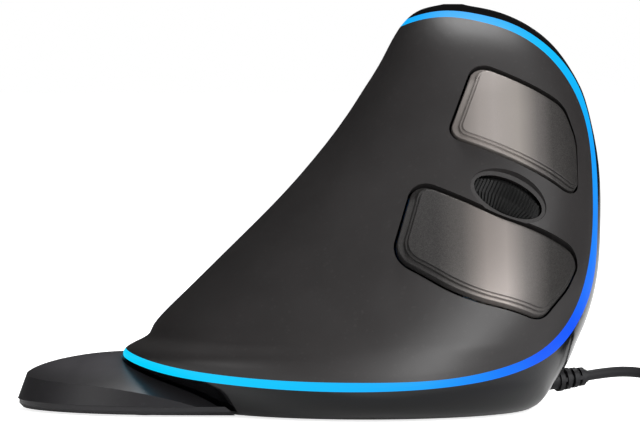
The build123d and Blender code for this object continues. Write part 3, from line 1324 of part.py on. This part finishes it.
# Light under the strip
light_room = HOLLOW - LED_BACK
flex_room = LED_BACK - FLEX_BACK
band = (NEAR_OUTER - NEAR_INNER) - THUMB_SIDE
save("strip_leds", group([post & light_room for post in led_posts()]))
save("led_board", flex_room & band)

# Palm rest
AROUND = body_form(-REST_GAP, FLOOR_GAP / 2)
AROUND_WIDE = body_form(-REST_GAP - REST_WALL, FLOOR_GAP / 2)
save("palm_rest_cover", rest_cover(AROUND, AROUND_WIDE))
save("palm_rest_plate", rest_plate(AROUND))
save("rest_magnets", group([magnet(REST_MAGNET_FACE, y) for y in (-MAGNET_SPREAD, MAGNET_SPREAD)]))
save("rest_screws", group([upright_screw(x, y, FLOOR_GAP, REST_HEIGHT / 3) for x, y in REST_SCREW_PLACES]))
save("rest_pads", group([rod(x, y, 0, SKATE_THICKNESS, REST_PAD_RADIUS) for x, y in REST_PAD_PLACES]))

# Cable: relief, free lead, coil, tail and plug
relief = strain_relief()
save("strain_relief", relief)
relief_end = relief_plane().origin + relief_plane().z_dir * RELIEF_LENGTH
coil_start, coil_end = coil_points()[0], coil_points()[-1]
core_start = relief_plane().origin - relief_plane().z_dir * RELIEF_FLANGE_SETBACK
core, core_length = cord_tube("core", [core_start, Vector(*CABLE_CORE_RISE), Vector(*CABLE_CORE_END)])
lead, lead_length = cord_tube("lead", [relief_end, *[Vector(*p) for p in LEAD_ROUTE], coil_start])
tail, tail_length = cord_tube("tail", plug_route())
coil_line = coil_path()
coil = tube(coil_line)
section = math.pi * (CABLE_DIAMETER / 2) ** 2
print("coil volume over section times length", round(coil.volume / (section * coil_line.length), 4))
print("coil gap to itself", round(least_gap(coil_line), 3))
print("cable length", round(lead_length + coil_line.length + tail_length, 1))
save("cable_core", core - relief)
save("cable_lead", lead)
save("cable_coil", coil)
save("cable_tail", tail)
save("coil_tie", coil_tie())
save("usb_grip", usb_grip())
save("usb_shell", usb_shell())
save("usb_tongue", usb_tongue())
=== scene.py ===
import math

import bpy
import numpy as np
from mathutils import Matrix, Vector


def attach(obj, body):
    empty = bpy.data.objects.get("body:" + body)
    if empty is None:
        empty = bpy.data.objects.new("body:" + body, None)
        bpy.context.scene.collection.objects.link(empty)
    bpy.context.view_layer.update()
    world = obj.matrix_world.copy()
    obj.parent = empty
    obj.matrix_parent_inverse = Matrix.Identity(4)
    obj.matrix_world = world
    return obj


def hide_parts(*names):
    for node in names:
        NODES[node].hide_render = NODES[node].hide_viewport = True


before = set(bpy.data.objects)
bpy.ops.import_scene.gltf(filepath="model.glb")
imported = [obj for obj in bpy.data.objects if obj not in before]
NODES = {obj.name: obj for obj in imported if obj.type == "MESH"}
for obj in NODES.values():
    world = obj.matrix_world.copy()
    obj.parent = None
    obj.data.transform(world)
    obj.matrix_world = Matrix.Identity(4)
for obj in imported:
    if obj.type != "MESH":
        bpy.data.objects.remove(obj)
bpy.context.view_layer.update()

# All sizes are in metres, in the model's frame: +X to the front of the mouse, -Y its finger side, +Z up
MM = 0.001

# Camera, set for the photograph's frame of 640 by 441
IMAGE_WIDTH = 640
FOCAL_PIXELS = 4105.5
SENSOR_WIDTH = 36.0
AIM = (2.48 * MM, 0.0, 39.06 * MM)
CAMERA_DISTANCE = 850 * MM
CAMERA_ELEVATION = math.radians(2.4)

# Cable
CABLE_DIAMETER = 2.2 * MM
RELIEF_END = (58.23 * MM, 10.03 * MM, 6.02 * MM)
LEAD_ROUTE = (
    (63.6, 12.9, 6.7), (69.2, 16.5, 6.4), (73.6, 19.3, 5.3), (77.9, 22.0, 3.6), (82.0, 24.7, 2.2),
)
COIL_LIFT = 0.9 * MM
COIL_ENTRY = (86.0 * MM, 27.8 * MM)
COIL_HEADING = math.radians(39.0)
COIL_PITCH = 3.2 * MM
COIL_LAYER_STEP = 2.9 * MM
COIL_LAYERS = 4
COIL_TURNS_A_LAYER = 4
COIL_OUTER_RADIUS = 19.0 * MM
COIL_STEPS_A_HALF_TURN = 8
PLUG_ROUTE = ((7.0, 0.0, 10.2), (15.0, -0.8, 8.4), (23.0, -3.4, 5.8), (30.0, -7.4, 4.2), (36.0, -11.9, 3.9))

SPLINE_ORDER = 3
SPLINE_STEPS = 4
BEVEL_STEPS = 4

# Painted reflection on the keys from rear to front: X in millimetres, then the tone painted there; the bright
# middle band stands in for reflected light
UPPER_KEY_REFLECTION_TONES = ((30, (104, 98, 94)), (35, (146, 139, 135)), (38, (152, 145, 141)), (43, (138, 132, 127)),
                   (47, (84, 80, 78)), (50, (40, 38, 37)), (56, (24, 23, 23)))
LOWER_KEY_REFLECTION_TONES = ((20, (28, 27, 27)), (26, (32, 31, 31)), (31, (68, 65, 63)), (36, (118, 111, 107)),
                   (40, (128, 121, 117)), (44, (86, 82, 80)), (49, (34, 33, 32)), (56, (28, 27, 27)))

# Glow of the light guide: along its foot by X, and up its sides by Z, as shares of the reach
GUIDE_FOOT_START = -40 * MM
GUIDE_FOOT_REACH = 100 * MM
GUIDE_FOOT_TONES = ((0.0, (0, 213, 255)), (0.35, (0, 196, 255)), (0.62, (0, 165, 255)), (0.86, (0, 88, 255)),
                    (1.0, (0, 60, 255)))
GUIDE_SIDE_REACH = 84 * MM
GUIDE_SIDE_TONES = ((0.12, (0, 60, 255)), (0.28, (0, 104, 255)), (0.5, (0, 140, 255)), (0.75, (0, 178, 255)),
                    (0.9, (0, 190, 255)), (1.0, (0, 160, 255)))
GUIDE_FOOT_TOP = 11 * MM
GUIDE_SIDE_FOOT = 24 * MM

# Height on the palm rest from which its top is painted paler, a painted sheen of the light falling on it, and
# the band over which the sheen sets in
REST_SHEEN_FROM = 6.5 * MM
SHEEN_BAND = 4 * MM

# Stage and light
FLOOR_HALF = 6.0
FLOOR_LIFT = 0.8
WORLD_LIGHT = 0.3
WORLD_IN_MIRROR = 0.02
BODY_MIDDLE = (10 * MM, 0, 40 * MM)
WHITE = (1, 1, 1, 1)
# Each lamp: its name, its place, the point that it faces, its two sides and its watts
LAMPS = (("key_lamp", (0.6, -0.75, 0.6), BODY_MIDDLE, (0.5, 0.5), 8),
         ("low_lamp", (0.5, -0.8, 0.12), (30 * MM, 0, 20 * MM), (0.4, 0.2), 5.5),
         ("fill_lamp", (-0.9, -0.7, 0.4), BODY_MIDDLE, (0.5, 0.5), 3.2),
         ("top_lamp", (0.1, 0.35, 1.0), BODY_MIDDLE, (0.4, 0.2), 6))


# Camera
def make_camera():
    """Looks along +Y, tilted down a little, from the finger side."""
    data = bpy.data.cameras.new("camera")
    data.sensor_width = SENSOR_WIDTH
    data.lens = FOCAL_PIXELS / IMAGE_WIDTH * SENSOR_WIDTH
    data.clip_end = 20
    camera = bpy.data.objects.new("camera", data)
    away = Vector((0, -math.cos(CAMERA_ELEVATION), math.sin(CAMERA_ELEVATION)))
    camera.location = Vector(AIM) + away * CAMERA_DISTANCE
    camera.rotation_euler = (math.pi / 2 - CAMERA_ELEVATION, 0, 0)
    bpy.context.collection.objects.link(camera)
    bpy.context.scene.camera = camera


# Cable
def coil_joints():
    """Radius and layer at the end of each half turn: in, up, out, up, in, up, out, and half a turn more."""
    half_turns = 2 * COIL_TURNS_A_LAYER
    inner = COIL_OUTER_RADIUS - half_turns * COIL_PITCH / 2
    joints = [(COIL_OUTER_RADIUS, 0)]
    for layer in range(COIL_LAYERS):
        start = joints[-1][0]
        goal = inner if layer % 2 == 0 else COIL_OUTER_RADIUS
        for k in range(half_turns):
            joints.append((start + (goal - start) * (k + 1) / half_turns, layer))
        if layer < COIL_LAYERS - 1:
            joints.append((joints[-1][0], layer + 1))
    joints.append((joints[-1][0] + COIL_PITCH / 2, COIL_LAYERS - 1))
    return joints


def coil_line():
    """Points of the coil: half circles between the joints, each over its own middle.

    A spline of order 3 runs inside its control points. Where it is nearest to one, it lies at 3/4 of that
    point plus 1/8 of each neighbour. So a half circle's points are set 1 / (3/4 + 1/4 cos(step)) times as
    far out as its own radius.
    """
    ahead = np.array([math.cos(COIL_HEADING), math.sin(COIL_HEADING), 0])
    left = np.array([-ahead[1], ahead[0], 0])
    centre = np.array([*COIL_ENTRY, 0]) - left * COIL_OUTER_RADIUS
    low = CABLE_DIAMETER / 2 + COIL_LIFT
    up = np.array([0, 0, 1])
    ends = [centre + left * radius * (1 if k % 2 == 0 else -1) + up * (low + layer * COIL_LAYER_STEP)
            for k, (radius, layer) in enumerate(coil_joints())]
    step = math.pi / COIL_STEPS_A_HALF_TURN
    grow = 1 / (0.75 + 0.25 * math.cos(step))
    turn = (np.arange(COIL_STEPS_A_HALF_TURN) + 0.5)[:, None] * step
    points = []
    for k, (a, b) in enumerate(zip(ends, ends[1:])):
        middle = (a + b) / 2
        bulge = ahead * np.linalg.norm(b - a) / 2 * (1 if k % 2 == 0 else -1)
        points.append(middle + grow * (np.cos(turn) * (a - middle) + np.sin(turn) * bulge))
    return np.concatenate(points), ends[-1], ahead, left


def cable_points():
    """The cable's whole route, from the strain relief over the coil to the plug."""
    coil, end, ahead, left = coil_line()
    foot = np.array([end[0], end[1], 0])
    plug = [foot + MM * (forward * ahead + sideways * left + np.array([0, 0, height]))
            for forward, sideways, height in PLUG_ROUTE]
    lead = [np.array(RELIEF_END)] + [np.array(point) * MM for point in LEAD_ROUTE]
    return np.concatenate([lead, coil, plug])


def nurbs_cable(name, points, diameter):
    """A round cable along an open spline that has the points as its control points.

    Each point's radius carries the thickness, on a bevel of 1 m, because a curve's box grows by that radius.
    """
    curve = bpy.data.curves.new(name, "CURVE")
    curve.dimensions = "3D"
    curve.bevel_depth = 1.0
    curve.bevel_resolution = BEVEL_STEPS
    curve.resolution_u = SPLINE_STEPS
    curve.use_fill_caps = True
    spline = curve.splines.new("NURBS")
    spline.points.add(len(points) - 1)
    spline.points.foreach_set("co", np.c_[points, np.ones(len(points))].ravel())
    spline.points.foreach_set("radius", np.full(len(points), diameter / 2))
    spline.order_u = SPLINE_ORDER
    spline.use_endpoint_u = True
    made = bpy.data.objects.new(name, curve)
    bpy.context.collection.objects.link(made)
    return made


# Shader sockets and materials
class Signal:
    """A shader socket. Python's operators on it add Math nodes to its recipe."""

    def __init__(self, recipe, socket):
        self.recipe = recipe
        self.socket = socket

    def maths(self, operation, *values):
        return self.recipe.node("ShaderNodeMath", {"operation": operation}, dict(enumerate(values)))

    def __add__(self, other):
        return self.maths("ADD", self, other)

    def __radd__(self, other):
        return self.maths("ADD", other, self)

    def __sub__(self, other):
        return self.maths("SUBTRACT", self, other)

    def __mul__(self, other):
        return self.maths("MULTIPLY", self, other)

    def __rmul__(self, other):
        return self.maths("MULTIPLY", other, self)

    def __truediv__(self, other):
        return self.maths("DIVIDE", self, other)

    def between(self, low, high):
        """0 below low, 1 above high and smooth in between."""
        values = {"Value": self, "From Min": low, "From Max": high}
        return self.recipe.node("ShaderNodeMapRange", {"interpolation_type": "SMOOTHSTEP"}, values)


class Recipe:
    """A material's nodes, made by one method, and the Principled shader that they feed."""

    def __init__(self, name):
        self.material = bpy.data.materials.new(name)
        self.material.use_nodes = True
        self.tree = self.material.node_tree
        self.shader = self.tree.nodes["Principled BSDF"]

    def node(self, kind, settings=None, values=None, out=0):
        """Adds a node: its settings first, then the values or links of its sockets."""
        made = self.tree.nodes.new(kind)
        for key, value in (settings or {}).items():
            if key == "stops":
                self.fill_ramp(made.color_ramp, value)
            else:
                setattr(made, key, value)
        for key, value in (values or {}).items():
            self.join(value, made.inputs[key])
        return Signal(self, made.outputs[out])

    def fill_ramp(self, ramp, stops):
        while len(ramp.elements) < len(stops):
            ramp.elements.new(0.5)
        for element, (place, color) in zip(ramp.elements, stops):
            element.position = place
            element.color = (*color, 1)

    def join(self, value, socket):
        if isinstance(value, Signal):
            self.tree.links.new(value.socket, socket)
        else:
            socket.default_value = value

    def place(self):
        """Object coordinates as a vector."""
        return self.node("ShaderNodeTexCoord", {}, {}, "Object")

    def axis(self, name):
        """One of the object coordinates, X, Y or Z."""
        return self.node("ShaderNodeSeparateXYZ", {}, {"Vector": self.place()}, name)

    def noise(self, size, detail=2.0, rough=0.5):
        """Noise whose blobs have about the given size."""
        values = {"Vector": self.place(), "Scale": 1 / size, "Detail": detail, "Roughness": rough}
        return self.node("ShaderNodeTexNoise", {}, values)

    def specks(self, size, out="Distance"):
        """Random cells of about the given size, as the distance from their middle or as a value for each."""
        return self.node("ShaderNodeTexVoronoi", {}, {"Vector": self.place(), "Scale": 1 / size}, out)

    def ramp(self, signal, stops):
        """Colours along a signal from 0 to 1: each stop is a place and the photograph's colour there."""
        stops = [(place, linear(*tone)) for place, tone in stops]
        return self.node("ShaderNodeValToRGB", {"stops": stops}, {"Fac": signal})

    def mixed(self, share, first, second):
        """A mix of two colours."""
        settings = {"data_type": "RGBA"}
        first = first if isinstance(first, Signal) else (*first, 1)
        second = second if isinstance(second, Signal) else (*second, 1)
        return self.node("ShaderNodeMix", settings, {0: share, 6: first, 7: second}, 2)

    def bumped(self, height, strength, distance):
        """A normal from a height."""
        return self.node("ShaderNodeBump", {}, {"Height": height, "Strength": strength, "Distance": distance})

    def feed(self, **values):
        """Sets the shader's sockets, whose names are written with underscores."""
        for key, value in values.items():
            if isinstance(value, tuple) and len(value) == 3:
                value = (*value, 1)
            self.join(value, self.shader.inputs[key.replace("_", " ")])
        return self.material


def linear(*rgb):
    """A colour written in the photograph's 0 to 255 values, made linear."""
    return tuple(((v / 255 + 0.055) / 1.055) ** 2.4 if v > 10 else v / 255 / 12.92 for v in rgb)


# Finishes
def soft_touch(name, color, rough=0.5, sheen_from=None):
    """Soft-touch paint on plastic: a fine grain, tiny bright specks and faint handling marks.

    From a height on, where the palm lies, the top is painted paler in patches: a painted sheen of the light
    that falls on it.
    """
    recipe = Recipe(name)
    grain = recipe.noise(0.35 * MM, detail=3.0, rough=0.6)
    smear_and_sheen = recipe.noise(14 * MM, detail=3.0, rough=0.6)
    fleck = recipe.specks(0.5 * MM, "Color").between(0.8, 0.95)
    worn = recipe.mixed(smear_and_sheen.between(0.35, 0.75) * 0.3 + grain * 0.2, color, tuple(c * 1.35 for c in color))
    base = recipe.mixed(fleck * 0.3, worn, tuple(c * 2.2 for c in color))
    if sheen_from is not None:
        # Painted sheen: from this height up the rest's top is painted paler in patches, standing in for the
        # light that falls on it
        height = recipe.axis("Z").between(sheen_from, sheen_from + SHEEN_BAND)
        base = recipe.mixed(height * smear_and_sheen.between(0.0, 0.6), base, tuple(c * 3.2 for c in color))
    normal = recipe.bumped(grain, strength=0.3, distance=0.02 * MM)
    return recipe.feed(Base_Color=base, Roughness=rough + 0.12 * (smear_and_sheen - 0.5), Normal=normal,
                       Specular_IOR_Level=0.4)


def gloss(name, color, rough=0.1):
    """Glossy moulded plastic with the faintest swirl and dust in its polish."""
    recipe = Recipe(name)
    swirl = recipe.noise(9 * MM, detail=4.0, rough=0.65)
    ripple = recipe.noise(22 * MM, detail=1.0, rough=0.4)
    dust = recipe.specks(1.3 * MM, "Color").between(0.93, 1.0)
    normal = recipe.bumped(ripple, strength=0.05, distance=0.2 * MM)
    base = recipe.mixed(dust * 0.15, color, linear(90, 90, 92))
    return recipe.feed(Base_Color=base, Roughness=rough + 0.06 * swirl.between(0.4, 0.8), Normal=normal)


def moulded(name, color, rough=0.45, grain_size=0.4 * MM):
    """Plain moulded plastic with a fine spark-eroded texture."""
    recipe = Recipe(name)
    grain = recipe.noise(grain_size, detail=2.0, rough=0.5)
    cloud = recipe.noise(8 * MM, detail=2.0, rough=0.5)
    base = recipe.mixed(cloud, color, tuple(c * 1.25 + 0.002 for c in color))
    normal = recipe.bumped(grain, strength=0.2, distance=0.02 * MM)
    return recipe.feed(Base_Color=base, Roughness=rough + 0.1 * cloud, Normal=normal)


def satin_key(name, reflection_tones):
    """Satin metallic paint over a key, with a painted reflection along X: a bright band in the middle,
    painted darker towards both ends.
    """
    recipe = Recipe(name)
    first, last = reflection_tones[0][0], reflection_tones[-1][0]
    share = (recipe.axis("X") - first * MM) / ((last - first) * MM)
    stops = [((x - first) / (last - first), tone) for x, tone in reflection_tones]
    flake = recipe.specks(0.12 * MM, "Color")
    streak = recipe.noise(0.9 * MM, detail=3.0, rough=0.6)
    # Painted reflection: the tones along X stand in for light reflected off the face, not the key's own
    # colour
    paint = recipe.ramp(share, stops)
    base = recipe.mixed(flake * 0.2, paint, linear(128, 124, 122))
    eased = recipe.node("ShaderNodeBevel", {"samples": 4}, {"Radius": 0.35 * MM})
    flakes = {"Height": flake + streak, "Strength": 0.12, "Distance": 0.01 * MM, "Normal": eased}
    normal = recipe.node("ShaderNodeBump", {}, flakes)
    return recipe.feed(Base_Color=base, Metallic=0.5, Roughness=0.42 + 0.1 * streak, Normal=normal)


def lit_guide():
    """The light guide: cyan at its rear foot, deep blue at its front foot, paler up the front and top."""
    recipe = Recipe("lit_guide")
    height = recipe.axis("Z")
    foot = recipe.ramp((recipe.axis("X") - GUIDE_FOOT_START) / GUIDE_FOOT_REACH, GUIDE_FOOT_TONES)
    side = recipe.ramp(height / GUIDE_SIDE_REACH, GUIDE_SIDE_TONES)
    color = recipe.mixed(height.between(GUIDE_FOOT_TOP, GUIDE_SIDE_FOOT), foot, side)
    cells = recipe.noise(18 * MM, detail=1.0, rough=0.4)
    glow = recipe.mixed(cells.between(0.45, 0.8) * 0.12, color, linear(40, 205, 255))
    frost = recipe.noise(0.5 * MM, detail=2.0, rough=0.5)
    return recipe.feed(Base_Color=linear(2, 14, 30), Emission_Color=glow, Emission_Strength=1.0,
                       Roughness=0.45 + 0.1 * frost, Specular_IOR_Level=0.15)


def rubber(name, color, rough=0.6, grain_size=0.25 * MM):
    """Rubber or cable jacket, with a dusty bloom."""
    recipe = Recipe(name)
    bloom = recipe.noise(5 * MM, detail=3.0, rough=0.6)
    grain = recipe.noise(grain_size, detail=2.0, rough=0.5)
    base = recipe.mixed(bloom.between(0.45, 0.8) * 0.4, color, tuple(c * 1.8 for c in color))
    normal = recipe.bumped(grain, strength=0.25, distance=0.02 * MM)
    return recipe.feed(Base_Color=base, Roughness=rough + 0.1 * bloom, Normal=normal, Specular_IOR_Level=0.25)


def metal(name, color, rough=0.3):
    """Plated steel with fine wear."""
    recipe = Recipe(name)
    wear = recipe.noise(0.8 * MM, detail=4.0, rough=0.7)
    base = recipe.mixed(wear.between(0.4, 0.8) * 0.5, color, tuple(c * 0.75 for c in color))
    return recipe.feed(Base_Color=base, Metallic=1.0, Roughness=rough + 0.15 * wear)


def circuit_board(name, mask, track):
    """Solder mask with a faint pattern of tracks below it."""
    recipe = Recipe(name)
    tracks = recipe.specks(1.6 * MM).between(0.28, 0.36)
    base = recipe.mixed(tracks * 0.5, mask, track)
    normal = recipe.bumped(tracks, strength=0.2, distance=0.03 * MM)
    return recipe.feed(Base_Color=base, Roughness=0.35, Normal=normal)


def clear_lens():
    """Clear moulded plastic."""
    recipe = Recipe("clear_lens")
    haze = recipe.noise(3 * MM, detail=2.0, rough=0.5)
    return recipe.feed(Base_Color=(0.9, 0.94, 0.97), Roughness=0.04 + 0.06 * haze, Transmission_Weight=0.9)


def dress(material, *names):
    """Gives one finish to CAD nodes."""
    for name in names:
        mesh = NODES[name].data
        mesh.materials.clear()
        mesh.materials.append(material)


# Stage
def make_floor():
    """A white floor that keeps a soft shadow: plain to the camera, matt to the light."""
    mesh = bpy.data.meshes.new("floor")
    corners = [(x * FLOOR_HALF, y * FLOOR_HALF, 0) for x, y in ((-1, -1), (1, -1), (1, 1), (-1, 1))]
    mesh.from_pydata(corners, [], [(0, 1, 2, 3)])
    floor = bpy.data.objects.new("floor", mesh)
    bpy.context.collection.objects.link(floor)
    recipe = Recipe("floor_white")
    recipe.feed(Base_Color=(0.8, 0.8, 0.8), Roughness=0.9, Specular_IOR_Level=0.0)
    matt = Signal(recipe, recipe.shader.outputs[0])
    seen = recipe.node("ShaderNodeLightPath", {}, {}, "Is Camera Ray")
    lift = recipe.node("ShaderNodeEmission", {}, {"Color": WHITE, "Strength": FLOOR_LIFT})
    lifted = recipe.node("ShaderNodeAddShader", {}, {0: matt, 1: lift})
    chosen = recipe.node("ShaderNodeMixShader", {}, {0: seen, 1: matt, 2: lifted})
    recipe.join(chosen, recipe.tree.nodes["Material Output"].inputs["Surface"])
    mesh.materials.append(recipe.material)


def make_world():
    """White to the camera, grey to everything that it lights or that mirrors it."""
    world = bpy.data.worlds.new("studio")
    bpy.context.scene.world = world
    world.use_nodes = True
    tree = world.node_tree
    light = tree.nodes["Background"]
    light.inputs["Strength"].default_value = WORLD_LIGHT
    seen = tree.nodes.new("ShaderNodeBackground")
    mirrored = tree.nodes.new("ShaderNodeBackground")
    mirrored.inputs["Strength"].default_value = WORLD_IN_MIRROR
    for backdrop in (light, seen, mirrored):
        backdrop.inputs["Color"].default_value = WHITE
    path = tree.nodes.new("ShaderNodeLightPath")
    first = tree.nodes.new("ShaderNodeMixShader")
    second = tree.nodes.new("ShaderNodeMixShader")
    tree.links.new(path.outputs["Is Glossy Ray"], first.inputs[0])
    tree.links.new(light.outputs[0], first.inputs[1])
    tree.links.new(mirrored.outputs[0], first.inputs[2])
    tree.links.new(path.outputs["Is Camera Ray"], second.inputs[0])
    tree.links.new(first.outputs[0], second.inputs[1])
    tree.links.new(seen.outputs[0], second.inputs[2])
    tree.links.new(second.outputs[0], tree.nodes["World Output"].inputs["Surface"])


def soft_light(name, place, aim, sides, watts):
    """A rectangular area lamp that faces a point."""
    data = bpy.data.lights.new(name, "AREA")
    data.shape = "RECTANGLE"
    data.size, data.size_y = sides
    data.energy = watts
    lamp = bpy.data.objects.new(name, data)
    lamp.location = place
    lamp.rotation_euler = (Vector(aim) - Vector(place)).to_track_quat("-Z", "Y").to_euler()
    bpy.context.collection.objects.link(lamp)


def make_lights():
    """A large lamp over the front right, a low one beside it, a weaker one from the left and one above."""
    for lamp in LAMPS:
        soft_light(*lamp)


make_camera()
cable = nurbs_cable("cable", cable_points(), CABLE_DIAMETER)
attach(cable, "mouse_body")
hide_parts("cable_lead", "cable_coil", "cable_tail")
cable.data.materials.append(rubber("cable_jacket", linear(26, 26, 28), rough=0.5))

dress(soft_touch("soft_shell", linear(34, 32, 32), rough=0.47), "palm_shell")
dress(soft_touch("rest_paint", linear(33, 32, 34), rough=0.42, sheen_from=REST_SHEEN_FROM),
      "palm_rest_cover", "palm_rest_plate")
dress(gloss("gloss_shell", linear(8, 8, 9)), "thumb_shell", "base")
dress(gloss("button_gloss", linear(24, 24, 26), rough=0.15), "back_button", "forward_button", "dpi_button")
dress(satin_key("upper_key_satin_painted_reflection", UPPER_KEY_REFLECTION_TONES), "left_key")
dress(satin_key("lower_key_satin_painted_reflection", LOWER_KEY_REFLECTION_TONES), "right_key")
dress(lit_guide(), "light_strip")
dress(rubber("wheel_rubber", linear(12, 12, 12), rough=0.5), "wheel_tyre")
dress(moulded("inner_plastic", linear(16, 16, 17), rough=0.6),
      "wheel_hub", "wheel_cradle", "inner_frame", "coil_tie")
dress(moulded("switch_plastic", linear(24, 24, 26), rough=0.5),
      "left_key_switch", "right_key_switch", "wheel_encoder", "wheel_switch", "side_switches")
dress(circuit_board("black_board", mask=(0.003, 0.003, 0.003), track=(0.006, 0.006, 0.006)),
      "key_board", "side_board")
dress(circuit_board("green_board", mask=(0.012, 0.08, 0.035), track=(0.02, 0.14, 0.06)), "main_board")
dress(moulded("header_plastic", linear(225, 222, 210), rough=0.35), "cable_header", "ribbon_sockets")
dress(moulded("flat_cable", linear(205, 206, 208), rough=0.4), "board_cable")
dress(moulded("flex_film", linear(190, 130, 50), rough=0.35), "led_board")
dress(moulded("led_cell", linear(235, 235, 225), rough=0.3), "strip_leds")
dress(moulded("sensor_chip", linear(30, 30, 30), rough=0.5), "optical_sensor")
dress(clear_lens(), "sensor_lens")
dress(metal("screw_steel", (0.5, 0.5, 0.51)), "key_pins", "frame_screws", "base_screws", "rest_screws")
dress(metal("magnet_nickel", (0.6, 0.6, 0.6), rough=0.15), "base_magnets", "rest_magnets")
dress(metal("plug_plating", (0.72, 0.72, 0.73), rough=0.2), "usb_shell")
dress(moulded("plug_insulator", linear(235, 235, 232), rough=0.3), "usb_tongue")
dress(moulded("skate_film", linear(38, 38, 40), rough=0.3), "rear_skate", "front_skate", "sensor_ring")
dress(rubber("foot_rubber", linear(34, 34, 35)), "rest_pads")
dress(rubber("boot_rubber", linear(24, 24, 26), rough=0.45), "strain_relief", "cable_core", "usb_grip")

make_floor()
make_world()
make_lights()
bpy.context.scene.view_settings.view_transform = "Standard"
